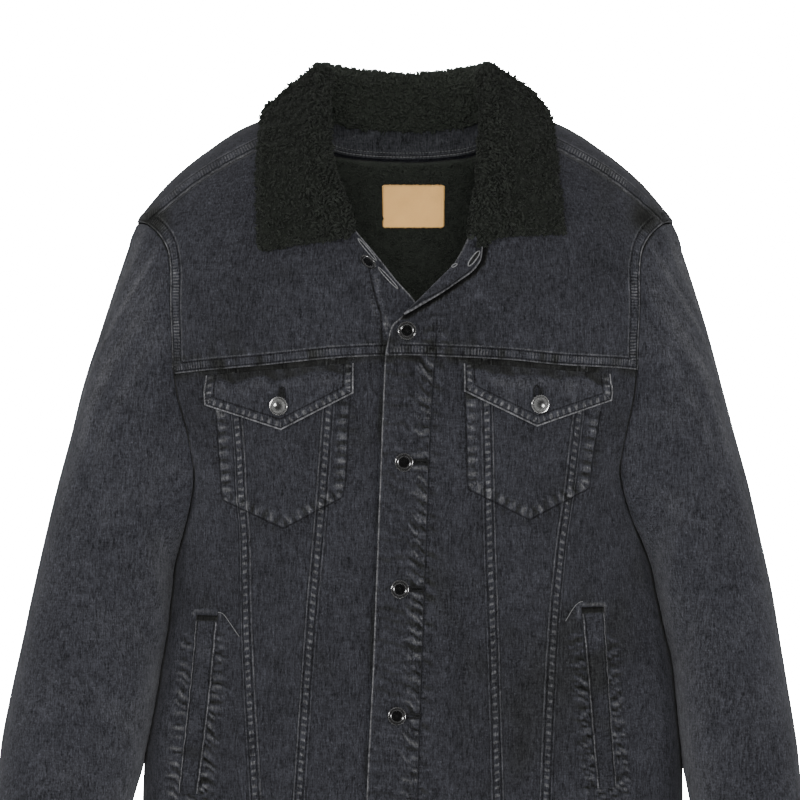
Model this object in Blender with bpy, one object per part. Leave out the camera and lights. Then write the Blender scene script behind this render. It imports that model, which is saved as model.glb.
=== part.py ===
"""Sherpa-lined denim jacket, filled out as if worn, with no wearer inside.

Every cut piece is its own wall of cloth. The torso is one form: a stack of rounded sections from
hem to shoulder. A place on it is an angle round the body (0 at centre front, towards the wearer's
left, 180 degrees at centre back) and a height. Panels are patches of that form between seam
lines, so neighbours share their seam. Sleeves are rings from the armhole to the wrist.

Metres, +Z up. The origin is at the back neck seam's height, in the middle of the neck opening.
R and L are the wearer's right (-X) and left (+X). The tables are in millimetres.
"""

import math

import bpy
import numpy as np
from mathutils.bvhtree import BVHTree

MM = 0.001

# ---- driving sizes ----------------------------------------------------------------------------
DENIM = 1.6 * MM
PLACKET = 2.4 * MM
FLAP = 1.8 * MM
WELT = 2.0 * MM
BAND = 3.0 * MM
CUFF = 2.4 * MM
PILE = 7.0 * MM
COLLAR_DENIM = 1.4 * MM
LINING = 6.0 * MM
LINING_INSET = 6.4 * MM
LINING_INSET_LEFT = 5.65 * MM
LINING_EDGE = 2.5 * MM
LINING_HEM = 3.0
LINING_PIT_DROP = 14.0
LABEL_WALL = 0.8 * MM
LABEL_SEAT = 0.3 * MM
SEAM_GAP = 0.2 * MM
SLEEVE_CLEAR = 2.4 * MM
UNDERLAP_DROP = 3.4 * MM
BUTTON_SEAT = 0.3 * MM

WAIST_SEAM = -595.0
HEM = -640.0
PIT = -307.0
SHOULDER_POINT = -65.0

SIDES = {"R": -1, "L": 1}


def table(names, rows):
    """Columns by name, from rows in millimetres."""
    return dict(zip(names, np.array(rows, float).T))


# Sections of the torso, from the top of the shoulders down to the hem.
TORSO = table(
    ("height", "centre", "half_width", "front", "back", "squareness"),
    [
        (44, 0, 60, 14, 18, 2.0),
        (35.5, 0, 98.5, 35, 40, 2.0),
        (21.6, 0, 141.8, 56, 62, 2.05),
        (0, 0, 176.4, 77, 83, 2.1),
        (-14.4, 0, 195.3, 88, 94, 2.1),
        (-28.8, 0, 211.5, 96, 103, 2.1),
        (-43.2, 0, 224.6, 102, 110, 2.1),
        (-65, 0, 240.3, 110, 118, 2.1),
        (-90, 0, 248, 116, 124, 2.15),
        (-130, 0, 248, 122, 130, 2.2),
        (-180, 0, 242, 127, 131, 2.2),
        (-240, 1, 226, 128, 127, 2.2),
        (-290, 2, 210, 126, 122, 2.2),
        (-310, 3, 207, 124, 120, 2.2),
        (-360, 6.5, 213, 122, 117, 2.25),
        (-430, 10, 225, 120, 115, 2.3),
        (-470, 11, 232, 119, 115, 2.3),
        (-530, 8, 241, 118, 116, 2.3),
        (-595, 7, 243, 118, 118, 2.3),
        (-640, 7, 239, 117, 117, 2.3),
        (-660, 7, 239, 117, 117, 2.3),
    ],
)

# Soft folds of the torso's cloth, each along a line on the front (y < 0) or back.
FOLDS = table(
    ("x1", "z1", "x2", "z2", "width", "depth", "face"),
    [
        (-186, -270, -120, -330, 20, 3.5, -1),
        (188, -262, 128, -330, 20, 3.5, -1),
        (-196, -360, -176, -560, 24, -4.0, -1),
        (208, -380, 190, -560, 24, -4.0, -1),
        (-28, -330, -60, -560, 26, 2.5, -1),
        (104, -420, 112, -570, 22, -3.0, -1),
        (-110, -440, -118, -570, 20, -3.0, -1),
        (-190, -150, -150, -330, 24, 4.0, 1),
        (190, -150, 150, -330, 24, 4.0, 1),
        (-90, -360, -100, -580, 30, -4.0, 1),
        (95, -340, 104, -580, 30, -4.0, 1),
        (0, -300, 6, -560, 34, 4.0, 1),
        (-150, -480, 150, -520, 22, 3.0, 1),
    ],
)

# Seam lines, as x at each height.
SEAM_NAMES = ("height", "x")
RIGHT_INNER = table(SEAM_NAMES, [(-185, -63), (-234, -67), (-325, -74), (-403, -81), (-600, -95)])
RIGHT_OUTER = table(SEAM_NAMES, [(-185, -152), (-243, -147), (-325, -141), (-426, -139), (-600, -130)])
LEFT_INNER = table(SEAM_NAMES, [(-185, 70), (-238, 71.5), (-347, 74), (-448, 77.5), (-600, 82)])
LEFT_OUTER = table(SEAM_NAMES, [(-185, 156), (-243, 151), (-314, 141), (-426, 130), (-600, 122)])
OVERLAP_EDGE = table(
    SEAM_NAMES, [(-185, -17.6), (-243, -20), (-365, -24.6), (-478, -29), (-526, -31.6), (-650, -37)]
)
PLACKET_SEAM = table(SEAM_NAMES, [(-185, 26.5), (-225, 23.4), (-336, 19), (-478, 14), (-600, 10)])
UNDERLAP_EDGE = table(SEAM_NAMES, [(-185, 21), (-300, 17), (-430, 12), (-650, 4)])
UNDER_SEAM_INSET = 7.0

# Seam lines that run across, as height at each x.
ACROSS_NAMES = ("x", "height")
YOKE_SEAM = table(
    ACROSS_NAMES,
    [(-215, -203), (-176, -199), (-131, -195.3), (-46, -187.5), (0, -186), (43, -187.5),
     (91, -190), (138, -194.4), (191, -197), (220, -200)],
)
BACK_YOKE_SEAM = table(ACROSS_NAMES, [(-225, -158), (-110, -167), (0, -170), (110, -167), (225, -158)])
BACK_SEAM = table(SEAM_NAMES, [(-150, 118), (-300, 104), (-450, 84), (-600, 66)])

# Armhole, from the shoulder point to the pit, wearer's left; the right one mirrors it.
ARMHOLE_FRONT = table(
    ("x", "height"),
    [(240.3, -65), (236, -66.2), (229, -68.5), (219, -77), (211.5, -88), (208, -102), (207, -125),
     (206, -165), (205, -198), (201, -228), (193, -256), (188, -280), (190.5, -297), (200, -305.5),
     (209.5, -307)],
)
ARMHOLE_BACK = table(
    ("x", "height"),
    [(240.3, -65), (235, -71), (228, -84), (223, -105), (220, -132), (218, -158), (213, -200),
     (206, -240), (200, -272), (198, -292), (202, -304), (209.5, -307)],
)
FRONT_STOPS = {"shoulder": 0, "seam": 2, "yoke": 8, "pit": 14}
BACK_STOPS = {"shoulder": 0, "yoke": 5, "pit": 11}
ARM_TOP_STEPS = 2
ARM_YOKE_STEPS = 9
ARM_LOW_STEPS = 7
ARM_BACK_STEPS = 7
SIDE_STEPS = 8

# Neckline, from each front end to the shoulder seam, then over the shoulder to centre back.
NECK_FRONT = {
    "R": table(("x", "height"), [(-42, -78), (-58, -51), (-77, -19), (-88, 2), (-94, 14)]),
    "L": table(("x", "height"), [(56.6, -79), (66, -54), (79, -19), (89, 3), (94, 14)]),
}
NECK_BACK = table(
    ("x", "height"),
    [(94, 14), (97, 22), (98.5, 35.5), (96, 28), (84, 15), (62, 5), (30, 1), (0, 0)],
)
NECK_RIDGE_ROW = 2
NECK_RIDGE_STEP = 2
NECK_FRONT_STEPS = 4
NECK_BACK_STEPS = 12
V_STEPS = 5
SHOULDER_SEAM = table(("x", "height"), [(94, 14), (133, -2), (175, -25), (214, -54.5), (229, -68.5)])

# Open V of the front, from the neckline's end down to the yoke seam.
V_EDGE = {
    "R": table(
        ("x", "height"),
        [(-42, -78), (-22.8, -101), (-7.1, -121), (9.5, -139.5), (18, -158), (21, -186)],
    ),
    "L": table(
        ("x", "height"),
        [(56.6, -79), (40.9, -108), (11.2, -138.6), (-4.5, -153.4), (-12.4, -162), (-17.6, -186)],
    ),
}
FACING_EDGE = table(
    ("x", "height"),
    [(67, -92), (65, -104), (58.4, -113.3), (47.9, -121), (30.4, -133), (11.2, -144.5), (0, -151)],
)
FACING_ROLL = table(
    ("x", "height"),
    [(53, -89), (47, -100), (40.9, -108), (31, -118), (20, -129), (9, -140), (-2, -150)],
)

# Front edges of the lining, set back behind the open V and the plackets.
LINING_FRONT = {
    "R": table(SEAM_NAMES, [(-78, -50), (-120, -58), (-200, -60), (-600, -68)]),
    "L": table(SEAM_NAMES, [(-79, 64), (-120, 66), (-200, 62), (-600, 50)]),
}

# Collar, a row for each station from the front end (0) to centre back (8): the centre of its
# roll, and the share of the stand, from the seam up, that is below the pile.
COLLAR = table(
    ("station", "roll_x", "roll_y", "roll_z"),
    [
        (0, 51.5, -112, -81.5),
        (1, 60.5, -109.5, -57),
        (2, 70.5, -99, -26),
        (3, 75.5, -80, 3),
        (4, 77, -56, 30),
        (5, 76.5, -8, 65),
        (6, 71, 42, 69),
        (7, 44, 76, 67),
        (8, 0, 88, 64),
    ],
)
COLLAR["pile_start"] = np.array([0.1, 0.1, 0.1, 0.15, 0.2, 0.28, 0.34, 0.37, 0.37])
# The collar's outer edge at each station, on the torso form.
COLLAR_EDGE = {
    "R": table(
        ("station", "x", "height", "back"),
        [(0, -119, -90.5, 0), (1, -129, -76, 0), (2, -130, -48, 0), (3, -131, -22, 0),
         (4, -131, -2, 0), (5, -128, 27, 0), (6, -106, 8, 1), (7, -60, -6, 1), (8, 0, -10, 1)],
    ),
    "L": table(
        ("station", "x", "height", "back"),
        [(0, 136.5, -78.5, 0), (1, 140.5, -65, 0), (2, 139, -40, 0), (3, 137, -18, 0),
         (4, 135, -2, 0), (5, 130, 26, 0), (6, 106, 8, 1), (7, 60, -6, 1), (8, 0, -10, 1)],
    ),
}
COLLAR_LOFT = {"R": 1.0 * MM, "L": 4.5 * MM}
COLLAR_LOFT_BACK = 4.0 * MM
COLLAR_END_SHIFT = 0.8
# Spans of stations over which the collar passes from one way of lying to the next.
SHOULDER_STATION = 4
BACK_STATION = 8
FRONT_END = (0, 3)
ON_PANEL_END = (2.5, 4)
STANDING_UP = (3, 5)
BACK_PART = (6, 8)
ROLL_STEPS = 4
FALL_STEPS = (0.28, 0.55, 0.8, 1.0)
COLLAR_SEAT = 1.0 * MM
ROLL_RADIUS = 2.0 * MM
FORM_TOP = 44.0 * MM
NECK_BAND_REACH = 7
NECK_BAND_DROP = 4.0 * MM
NECK_BAND_EASE = 1.4 * MM

# Sleeve outlines seen from the front, and how each ring lies, from armhole (0) to wrist (1).
SLEEVE_OUTER = {
    "R": table(
        SEAM_NAMES,
        [(-65, 240.3), (-86, 248), (-121, 260), (-166, 274.5), (-211, 289), (-256, 299.7),
         (-301, 311.5), (-346, 322), (-391, 331.5), (-436, 340.5), (-481, 350), (-526, 358.5),
         (-580, 366.5), (-620, 370), (-648, 372)],
    ),
    "L": table(
        SEAM_NAMES,
        [(-65, 240.3), (-86, 247.5), (-121, 259), (-166, 272.7), (-211, 284.4), (-256, 296),
         (-301, 308), (-346, 317.7), (-391, 327), (-436, 334), (-481, 341), (-526, 348),
         (-580, 356.5), (-620, 361), (-648, 363.5)],
    ),
}
SLEEVE_INNER = {
    "R": table(
        SEAM_NAMES,
        [(-307, 204.5), (-346, 203), (-420, 209), (-472, 218), (-534, 230), (-600, 248), (-672, 284)],
    ),
    "L": table(
        SEAM_NAMES,
        [(-307, 210.5), (-346, 213), (-420, 227), (-459, 237), (-535, 246), (-600, 257), (-672, 280)],
    ),
}
WRIST_OUTER = -648.0
WRIST_INNER = -672.0
SLEEVE_RINGS = table(
    ("along", "middle_y", "half_depth", "squareness"),
    [
        (0.0, 0, 70, 2.0),
        (0.15, -1, 78, 2.1),
        (0.30, -4, 77, 2.25),
        (0.45, -12, 74, 2.35),
        (0.60, -27, 70, 2.35),
        (0.75, -42, 65, 2.3),
        (0.90, -56, 55, 2.2),
        (1.0, -65, 46, 2.1),
    ],
)
SLEEVE_STEPS = 14
SLEEVE_BLEND = 0.22
# Creases of the sleeves: angle round the arm, place along it, spans, slant and depth.
SLEEVE_FOLDS = table(
    ("angle", "along", "angle_span", "along_span", "slant", "depth"),
    [
        (150, 0.20, 46, 0.030, 0.05, -4.0),
        (140, 0.30, 50, 0.034, 0.09, 4.0),
        (150, 0.42, 48, 0.032, 0.05, -4.0),
        (120, 0.52, 60, 0.036, -0.06, 3.5),
        (150, 0.60, 52, 0.032, 0.05, -4.0),
        (110, 0.70, 60, 0.034, 0.07, 3.0),
        (60, 0.80, 60, 0.034, -0.05, -3.0),
        (230, 0.34, 50, 0.034, -0.08, 4.0),
        (240, 0.50, 56, 0.034, 0.06, -4.5),
        (220, 0.64, 56, 0.034, -0.05, 4.0),
        (300, 0.78, 60, 0.034, 0.06, -3.0),
    ],
)
CUFF_LENGTH = 50.0
CUFF_STEPS = 20

# Pockets and buttons, as (x, height) on the front.
FLAPS = {
    "R": {"top": [(-174.5, -203), (-44.7, -192.5)], "side": [-229, -219], "tip": (-107.5, -251)},
    "L": {"top": [(51, -192.5), (180, -201.5)], "side": [-217.5, -225], "tip": (114, -248)},
}
FLAP_DROP = 1.4
WELTS = {
    "R": {"outer": [(-185.5, -415), (-199, -572)], "inner": [(-165, -415), (-183, -572)]},
    "L": {"outer": [(173.6, -407), (186, -566)], "inner": [(154.4, -407), (169, -566)]},
}
FRONT_BUTTONS = [(-30.7, -103.7), (1.6, -164.8), (-1, -279.1), (-4.5, -390), (-7.1, -500.9), (-9.5, -615)]
FLAP_BUTTONS = {"R": (-108.7, -230), "L": (116, -228.5)}
BUTTON_RADIUS = 8.2 * MM
BUTTON_SIDES = 12
TOP_BUTTON_TURN = math.radians(34)
LABEL_BOX = {"x": (-20.6, 36.4), "height": (-28.5, -68)}

MATERIALS = {
    "denim": ((0.031, 0.032, 0.038), 0.85, 0.0),
    "sherpa": ((0.014, 0.016, 0.014), 0.95, 0.0),
    "label": ((0.64, 0.44, 0.24), 0.7, 0.0),
    "metal": ((0.10, 0.10, 0.11), 0.3, 1.0),
}


# ---- curves through tables --------------------------------------------------------------------
def smooth(rows, key, column, at):
    """The table's column at the key's values, on a curve that never overshoots its rows."""
    order = np.argsort(rows[key])
    xs = rows[key][order]
    ys = rows[column][order]
    step = np.diff(xs)
    slope = np.diff(ys) / step
    tangent = np.empty_like(ys)
    tangent[0] = slope[0]
    tangent[-1] = slope[-1]
    near = 2 * step[1:] + step[:-1]
    far = step[1:] + 2 * step[:-1]
    same = slope[:-1] * slope[1:] > 0
    safe_a = np.where(same, slope[:-1], 1.0)
    safe_b = np.where(same, slope[1:], 1.0)
    tangent[1:-1] = np.where(same, (near + far) / (near / safe_a + far / safe_b), 0.0)
    at = np.clip(np.asarray(at, float), xs[0], xs[-1])
    i = np.clip(np.searchsorted(xs, at, side="right") - 1, 0, len(xs) - 2)
    t = (at - xs[i]) / step[i]
    return (
        ys[i] * (1 + 2 * t) * (1 - t) ** 2
        + tangent[i] * step[i] * t * (1 - t) ** 2
        + ys[i + 1] * t * t * (3 - 2 * t)
        + tangent[i + 1] * step[i] * t * t * (t - 1)
    )


def ease(t):
    t = np.clip(t, 0.0, 1.0)
    return t * t * (3 - 2 * t)


def passed(values, span):
    """0 before the span, 1 after it, smooth between."""
    return ease((values - span[0]) / (span[1] - span[0]))


def curve_through(points, steps=24):
    """A Catmull-Rom curve through the points, finely sampled; steps samples to each span."""
    points = np.asarray(points, float)
    ends = np.vstack([2 * points[0] - points[1], points, 2 * points[-1] - points[-2]])
    t = np.linspace(0, 1, steps, endpoint=False)[:, None]
    spans = []
    for a, b, c, d in zip(ends[:-3], ends[1:-2], ends[2:-1], ends[3:]):
        cubic = (3 * b - a - 3 * c + d) * t**3
        square = (2 * a - 5 * b + 4 * c - d) * t**2
        spans.append(0.5 * (2 * b + (c - a) * t + square + cubic))
    return np.vstack(spans + [points[-1:]])


def spaced(values, lengths, count):
    """count + 1 samples of the values, evenly spaced by the length along them."""
    at = np.linspace(lengths[0], lengths[-1], count + 1)
    return np.stack([np.interp(at, lengths, column) for column in values.T], axis=1)


# ---- the torso form ---------------------------------------------------------------------------
def section(height):
    """Centre, half-width, front and back depth (m) and squareness at heights in metres."""
    at = np.asarray(height) / MM
    names = ("centre", "half_width", "front", "back")
    sizes = [smooth(TORSO, "height", name, at) * MM for name in names]
    return (*sizes, smooth(TORSO, "height", "squareness", at))


def bare_form(angle, height):
    """Points of the torso form before its folds."""
    centre, half_width, front, back, square = section(height)
    s = np.sin(angle)
    c = np.cos(angle)
    reach = (np.abs(s) ** square + np.abs(c) ** square) ** (-1 / square)
    depth = np.where(c > 0, front, back)
    return np.stack([centre + half_width * s * reach, -depth * c * reach, height + 0 * s], axis=-1)


def form_normal(angle, height):
    turn = 2e-3
    rise = 0.4 * MM
    along = bare_form(angle + turn, height) - bare_form(angle - turn, height)
    up = bare_form(angle, height + rise) - bare_form(angle, height - rise)
    normal = np.cross(along, up)
    return normal / np.linalg.norm(normal, axis=-1, keepdims=True)


def distance_to_line(x, z, x1, z1, x2, z2):
    """Distance to a line's stretch, and how far along it the nearest place is."""
    length2 = (x2 - x1) ** 2 + (z2 - z1) ** 2
    t = np.clip(((x - x1) * (x2 - x1) + (z - z1) * (z2 - z1)) / length2, 0, 1)
    return np.hypot(x - x1 - t * (x2 - x1), z - z1 - t * (z2 - z1)), t


def fold_depth(points):
    """How far the folds stand the cloth out from the bare form."""
    x = points[..., 0] / MM
    z = points[..., 2] / MM
    depth = np.zeros(x.shape)
    for x1, z1, x2, z2, width, height, face in zip(*FOLDS.values()):
        gap, t = distance_to_line(x, z, x1, z1, x2, z2)
        facing = ease(points[..., 1] * face / MM / 40 - 0.2)
        depth += height * np.exp(-((gap / width) ** 2)) * (0.6 + 0.4 * np.sin(math.pi * t)) * facing
    return depth * MM


def torso(angle, height, lift=0.0):
    """Points on the torso's outer face, moved out by lift."""
    angle = np.asarray(angle, float)
    height = np.asarray(height, float)
    points = bare_form(angle, height)
    normal = form_normal(angle, height)
    out = fold_depth(points) + lift
    return points + normal * out[..., None]


def place(x, height, back=False):
    """(angle, height in metres) of the place at x on the front or back, both in millimetres."""
    x = np.asarray(x, float) * MM
    height = np.asarray(height, float) * MM
    centre, half_width, _, _, square = section(height)
    across = np.clip(np.abs(x - centre) / half_width, 0, 1 - 1e-9) ** square
    angle = np.arctan((across / (1 - across)) ** (1 / square))
    angle = np.where(np.abs(x - centre) >= half_width * 0.9995, math.pi / 2, angle)
    angle = np.where(np.asarray(back, bool), math.pi - angle, angle)
    return np.stack([angle * np.where(x < centre, -1, 1), height], axis=-1)


def route(places, stops, counts):
    """Evenly spaced places along a curve through rows, with an exact sample at each stop."""
    fine_steps = 24
    fine = curve_through(places, fine_steps)
    points = bare_form(fine[:, 0], fine[:, 1])
    lengths = np.concatenate([[0], np.cumsum(np.linalg.norm(np.diff(points, axis=0), axis=1))])
    pieces = []
    for a, b, count in zip(stops[:-1], stops[1:], counts):
        span = slice(a * fine_steps, b * fine_steps + 1)
        pieces.append(spaced(fine[span], lengths[span], count)[:-1])
    return np.vstack(pieces + [fine[stops[-1] * fine_steps][None]])


def mirrored(places):
    return places * np.array([-1.0, 1.0])


# ---- seam lines as places ---------------------------------------------------------------------
def armhole(side):
    """Places from the shoulder point down the front and down the back to the pit."""
    sign = SIDES[side]
    out = {}
    for face, rows, stops in (
        ("front", ARMHOLE_FRONT, FRONT_STOPS),
        ("back", ARMHOLE_BACK, BACK_STOPS),
    ):
        centre_shift = smooth(TORSO, "height", "centre", rows["height"])
        x = rows["x"] * sign + centre_shift
        places = place(x, rows["height"], face == "back")
        for end in (0, -1):
            places[end, 0] = sign * math.pi / 2
        places[-1, 1] = PIT * MM
        if face == "front":
            counts = (ARM_TOP_STEPS, ARM_YOKE_STEPS, ARM_LOW_STEPS)
        else:
            counts = (ARM_BACK_STEPS, ARM_LOW_STEPS)
        out[face] = route(places, list(stops.values()), counts)
    return out


def neck_front(side):
    rows = NECK_FRONT[side]
    places = place(rows["x"], rows["height"])
    return route(places, [0, len(places) - 1], [NECK_FRONT_STEPS])


def neck_back(side):
    """From the shoulder seam over the shoulder to centre back."""
    backs = np.arange(len(NECK_BACK["x"])) > NECK_RIDGE_ROW
    places = place(NECK_BACK["x"], NECK_BACK["height"], backs)
    places[NECK_RIDGE_ROW, 0] = math.pi / 2
    places = route(places, [0, len(places) - 1], [NECK_BACK_STEPS])
    return places if side == "L" else mirrored(places)


def shoulder_seam(side, count):
    places = place(SHOULDER_SEAM["x"], SHOULDER_SEAM["height"])
    places[-1] = armhole("L")["front"][ARM_TOP_STEPS]
    places = route(places, [0, len(places) - 1], [count])
    return places if side == "L" else mirrored(places)


def v_edge(side):
    rows = V_EDGE[side]
    places = place(rows["x"], rows["height"])
    return route(places, [0, len(places) - 1], [V_STEPS])


def across_seam(rows, start, end, count):
    """Places along a seam that runs across, from one place to another."""
    angle = np.linspace(start[0], end[0], count + 1)
    height = np.linspace(start[1], end[1], count + 1)
    for _ in range(3):
        x = bare_form(angle, height)[:, 0] / MM
        height = smooth(rows, "x", "height", x) * MM
    places = np.stack([angle, height], axis=1)
    places[0] = start
    places[-1] = end
    return places


def level_line(start, end, count):
    share = np.linspace(0, 1, count + 1)[:, None]
    return start * (1 - share) + end * share


def patch(left, right, top, bottom):
    """A Coons patch of places between four lines: rows run down, columns run from left to right."""
    v = np.linspace(0, 1, len(left))[:, None, None]
    u = np.linspace(0, 1, len(top))[None, :, None]
    sides = (1 - u) * left[:, None] + u * right[:, None]
    ends = (1 - v) * top[None] + v * bottom[None]
    corners = (1 - v) * ((1 - u) * top[0] + u * top[-1]) + v * ((1 - u) * bottom[0] + u * bottom[-1])
    return sides + ends - corners


# ---- making solids ----------------------------------------------------------------------------
def clear_objects():
    for old in list(bpy.data.objects):
        bpy.data.objects.remove(old, do_unlink=True)


def material(name):
    made = bpy.data.materials.get(name)
    if made is None:
        colour, roughness, metallic = MATERIALS[name]
        made = bpy.data.materials.new(name)
        made.use_nodes = True
        shader = made.node_tree.nodes["Principled BSDF"]
        shader.inputs["Base Color"].default_value = (*colour, 1.0)
        shader.inputs["Roughness"].default_value = roughness
        shader.inputs["Metallic"].default_value = metallic
    return made


def add_object(name, vertices, faces, finish):
    mesh = bpy.data.meshes.new(name)
    mesh.from_pydata([tuple(v) for v in vertices], [], faces)
    mesh.update()
    mesh.shade_smooth()
    made = bpy.data.objects.new(name, mesh)
    made.data.materials.append(material(finish))
    bpy.context.scene.collection.objects.link(made)
    return made


def edge_steps(grid, ring, gap):
    """How each point moves so that the grid's edges stop short of their seams by the gap."""
    moves = np.zeros(grid.shape)
    for edge, inner in ((0, 1), (-1, -2)):
        step = grid[inner] - grid[edge]
        moves[edge] += gap * step / np.linalg.norm(step, axis=-1, keepdims=True)
        if not ring:
            step = grid[:, inner] - grid[:, edge]
            moves[:, edge] += gap * step / np.linalg.norm(step, axis=-1, keepdims=True)
    return moves


def wall_faces(rows, columns, ring):
    """Two grids back to back, cut the same way into triangles and joined round their edges."""
    spans = columns if ring else columns - 1
    under = rows * columns
    faces = []
    for i in range(rows - 1):
        for j in range(spans):
            k = (j + 1) % columns
            a, b = i * columns + j, (i + 1) * columns + j
            c, d = (i + 1) * columns + k, i * columns + k
            faces += [[a, b, c], [a, c, d]]
            faces += [[under + c, under + b, under + a], [under + d, under + c, under + a]]
    rim = [(j, (j + 1) % columns) for j in range(spans)]
    last = (rows - 1) * columns
    rim += [(last + k, last + j) for j, k in rim]
    if not ring:
        sides = [(i * columns, (i + 1) * columns) for i in range(rows - 1)]
        rim += [(b, a) for a, b in sides]
        rim += [(a + columns - 1, b + columns - 1) for a, b in sides]
    faces += [[a, b, under + b, under + a] for a, b in rim]
    return faces


def enclosed(vertices, faces):
    """Volume inside the faces: negative where they face inwards."""
    total = 0.0
    for face in faces:
        a = vertices[face[0]]
        for i in range(1, len(face) - 1):
            total += np.dot(a, np.cross(vertices[face[i]], vertices[face[i + 1]]))
    return total / 6


def cloth(name, outer, inner, finish, ring=False, gap=SEAM_GAP):
    """A wall of cloth between its outer and inner faces, two grids of the same shape."""
    moves = edge_steps(outer, ring, gap)
    vertices = np.concatenate([(outer + moves).reshape(-1, 3), (inner + moves).reshape(-1, 3)])
    faces = wall_faces(*outer.shape[:2], ring)
    if enclosed(vertices, faces) < 0:
        faces = [face[::-1] for face in faces]
    return add_object(name, vertices, faces, finish)


def panel(name, places, thickness, finish="denim", lift=0.0, gap=SEAM_GAP):
    """A wall on the torso form, its outer face moved out by lift."""
    angle = places[..., 0]
    height = places[..., 1]
    return cloth(name, torso(angle, height, lift), torso(angle, height, lift - thickness), finish, gap=gap)


def grid_normals(grid, ring=False):
    """Unit normals of a grid of points, whose columns close up where it is a ring."""
    if ring:
        across = np.roll(grid, -1, axis=1) - np.roll(grid, 1, axis=1)
    else:
        across = np.gradient(grid, axis=1)
    normal = np.cross(np.gradient(grid, axis=0), across)
    return normal / np.linalg.norm(normal, axis=-1, keepdims=True)


# ---- torso panels -----------------------------------------------------------------------------
def left_edge_distance(points):
    """Signed distance (mm) to the left front's edge, positive where that front lies over."""
    x = points[..., 0] / MM
    z = points[..., 2] / MM
    low = smooth(OVERLAP_EDGE, "height", "x", z)
    rows = V_EDGE["L"]
    high = smooth(rows, "height", "x", z)
    return np.where(z > -186, (x - high) * 0.75, x - low)


def front_lift(side, places):
    """The right front is sunk where the left front laps over it."""
    if side == "L":
        return np.zeros(places.shape[:-1])
    points = bare_form(places[..., 0], places[..., 1])
    over = left_edge_distance(points)
    return -UNDERLAP_DROP * ease((over + 13) / 11) * ease((-points[..., 2] / MM - 112) / 26)


def front_yoke(side):
    hole = armhole(side)["front"]
    arm = hole[ARM_TOP_STEPS:ARM_TOP_STEPS + ARM_YOKE_STEPS + 1]
    opening = np.vstack([neck_front(side)[::-1], v_edge(side)[1:]])
    count = 9
    top = shoulder_seam(side, count)
    top[0] = opening[0]
    bottom = across_seam(YOKE_SEAM, opening[-1], arm[-1], count)
    places = patch(opening, arm, top, bottom)
    panel(f"front_yoke_{side}", places, DENIM, lift=front_lift(side, places))


def low_rows(side, face):
    """How far down from yoke seam to waist each row lies, at the side of the body."""
    hole = armhole(side)[face][-ARM_LOW_STEPS - 1:]
    down = np.linspace(PIT, WAIST_SEAM, SIDE_STEPS + 1)[1:] * MM
    line = np.vstack([hole, np.stack([0 * down + SIDES[side] * math.pi / 2, down], axis=1)])
    return line


def seam_places(rows, side_line, top_rows, weight, back=False, side="L"):
    """Places down a seam, whose rows pass from even steps to those of the body's side."""
    drops = (side_line[:, 1] - side_line[0, 1]) / (side_line[-1, 1] - side_line[0, 1])
    even = np.linspace(0, 1, len(drops))
    drops = (1 - weight) * even + weight * drops
    sign = 1 if side == "L" or not back else -1
    x = smooth(rows, "height", "x", np.full(len(drops), -190.0 if not back else -166.0)) * sign
    for _ in range(3):
        top = smooth(top_rows, "x", "height", x)
        z = top + drops * (WAIST_SEAM - top)
        x = smooth(rows, "height", "x", z) * sign
    return place(x, z, back)


def low_patch(left, right, count, seam_rows):
    top = across_seam(seam_rows, left[0], right[0], count)
    return patch(left, right, top, level_line(left[-1], right[-1], count))


def shifted(rows, by):
    return {"height": rows["height"], "x": rows["x"] + by}


def front_panels(side):
    """The four lower front pieces, from the front edge to the side seam."""
    line = low_rows(side, "front")
    if side == "R":
        edge = UNDERLAP_EDGE
        band = shifted(OVERLAP_EDGE, UNDER_SEAM_INSET)
        inner = RIGHT_INNER
        outer = RIGHT_OUTER
    else:
        edge = OVERLAP_EDGE
        band = PLACKET_SEAM
        inner = LEFT_INNER
        outer = LEFT_OUTER
    lines = [
        seam_places(rows, line, YOKE_SEAM, weight)
        for rows, weight in ((edge, 0.0), (band, 0.0), (inner, 0.25), (outer, 0.6))
    ]
    lines.append(line)
    pieces = (
        ("placket", 2, PLACKET, 0.6 * MM),
        ("front_center", 3, DENIM, 0.0),
        ("front_mid", 4, DENIM, 0.0),
        ("front_side", 5, DENIM, 0.0),
    )
    for (name, count, wall, lift), left, right in zip(pieces, lines[:-1], lines[1:]):
        places = low_patch(left, right, count, YOKE_SEAM)
        lift = front_lift(side, places) + (lift if side == "L" else 0.0)
        panel(f"{name}_{side}", places, wall, lift=lift)


def back_panels():
    """The tapered centre back and the two sides."""
    lines = {}
    for side in SIDES:
        line = low_rows(side, "back")
        line[ARM_LOW_STEPS + 1:, 0] = SIDES[side] * math.pi / 2
        lines[side] = (line, seam_places(BACK_SEAM, line, BACK_YOKE_SEAM, 0.4, True, side))
    turned = lines["R"][1].copy()
    turned[:, 0] += 2 * math.pi
    places = low_patch(lines["L"][1], turned, 8, BACK_YOKE_SEAM)
    panel("back_center", places, DENIM)
    for side, (line, seam) in lines.items():
        places = low_patch(seam, line, 6, BACK_YOKE_SEAM)
        panel(f"back_side_{side}", places, DENIM)


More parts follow.
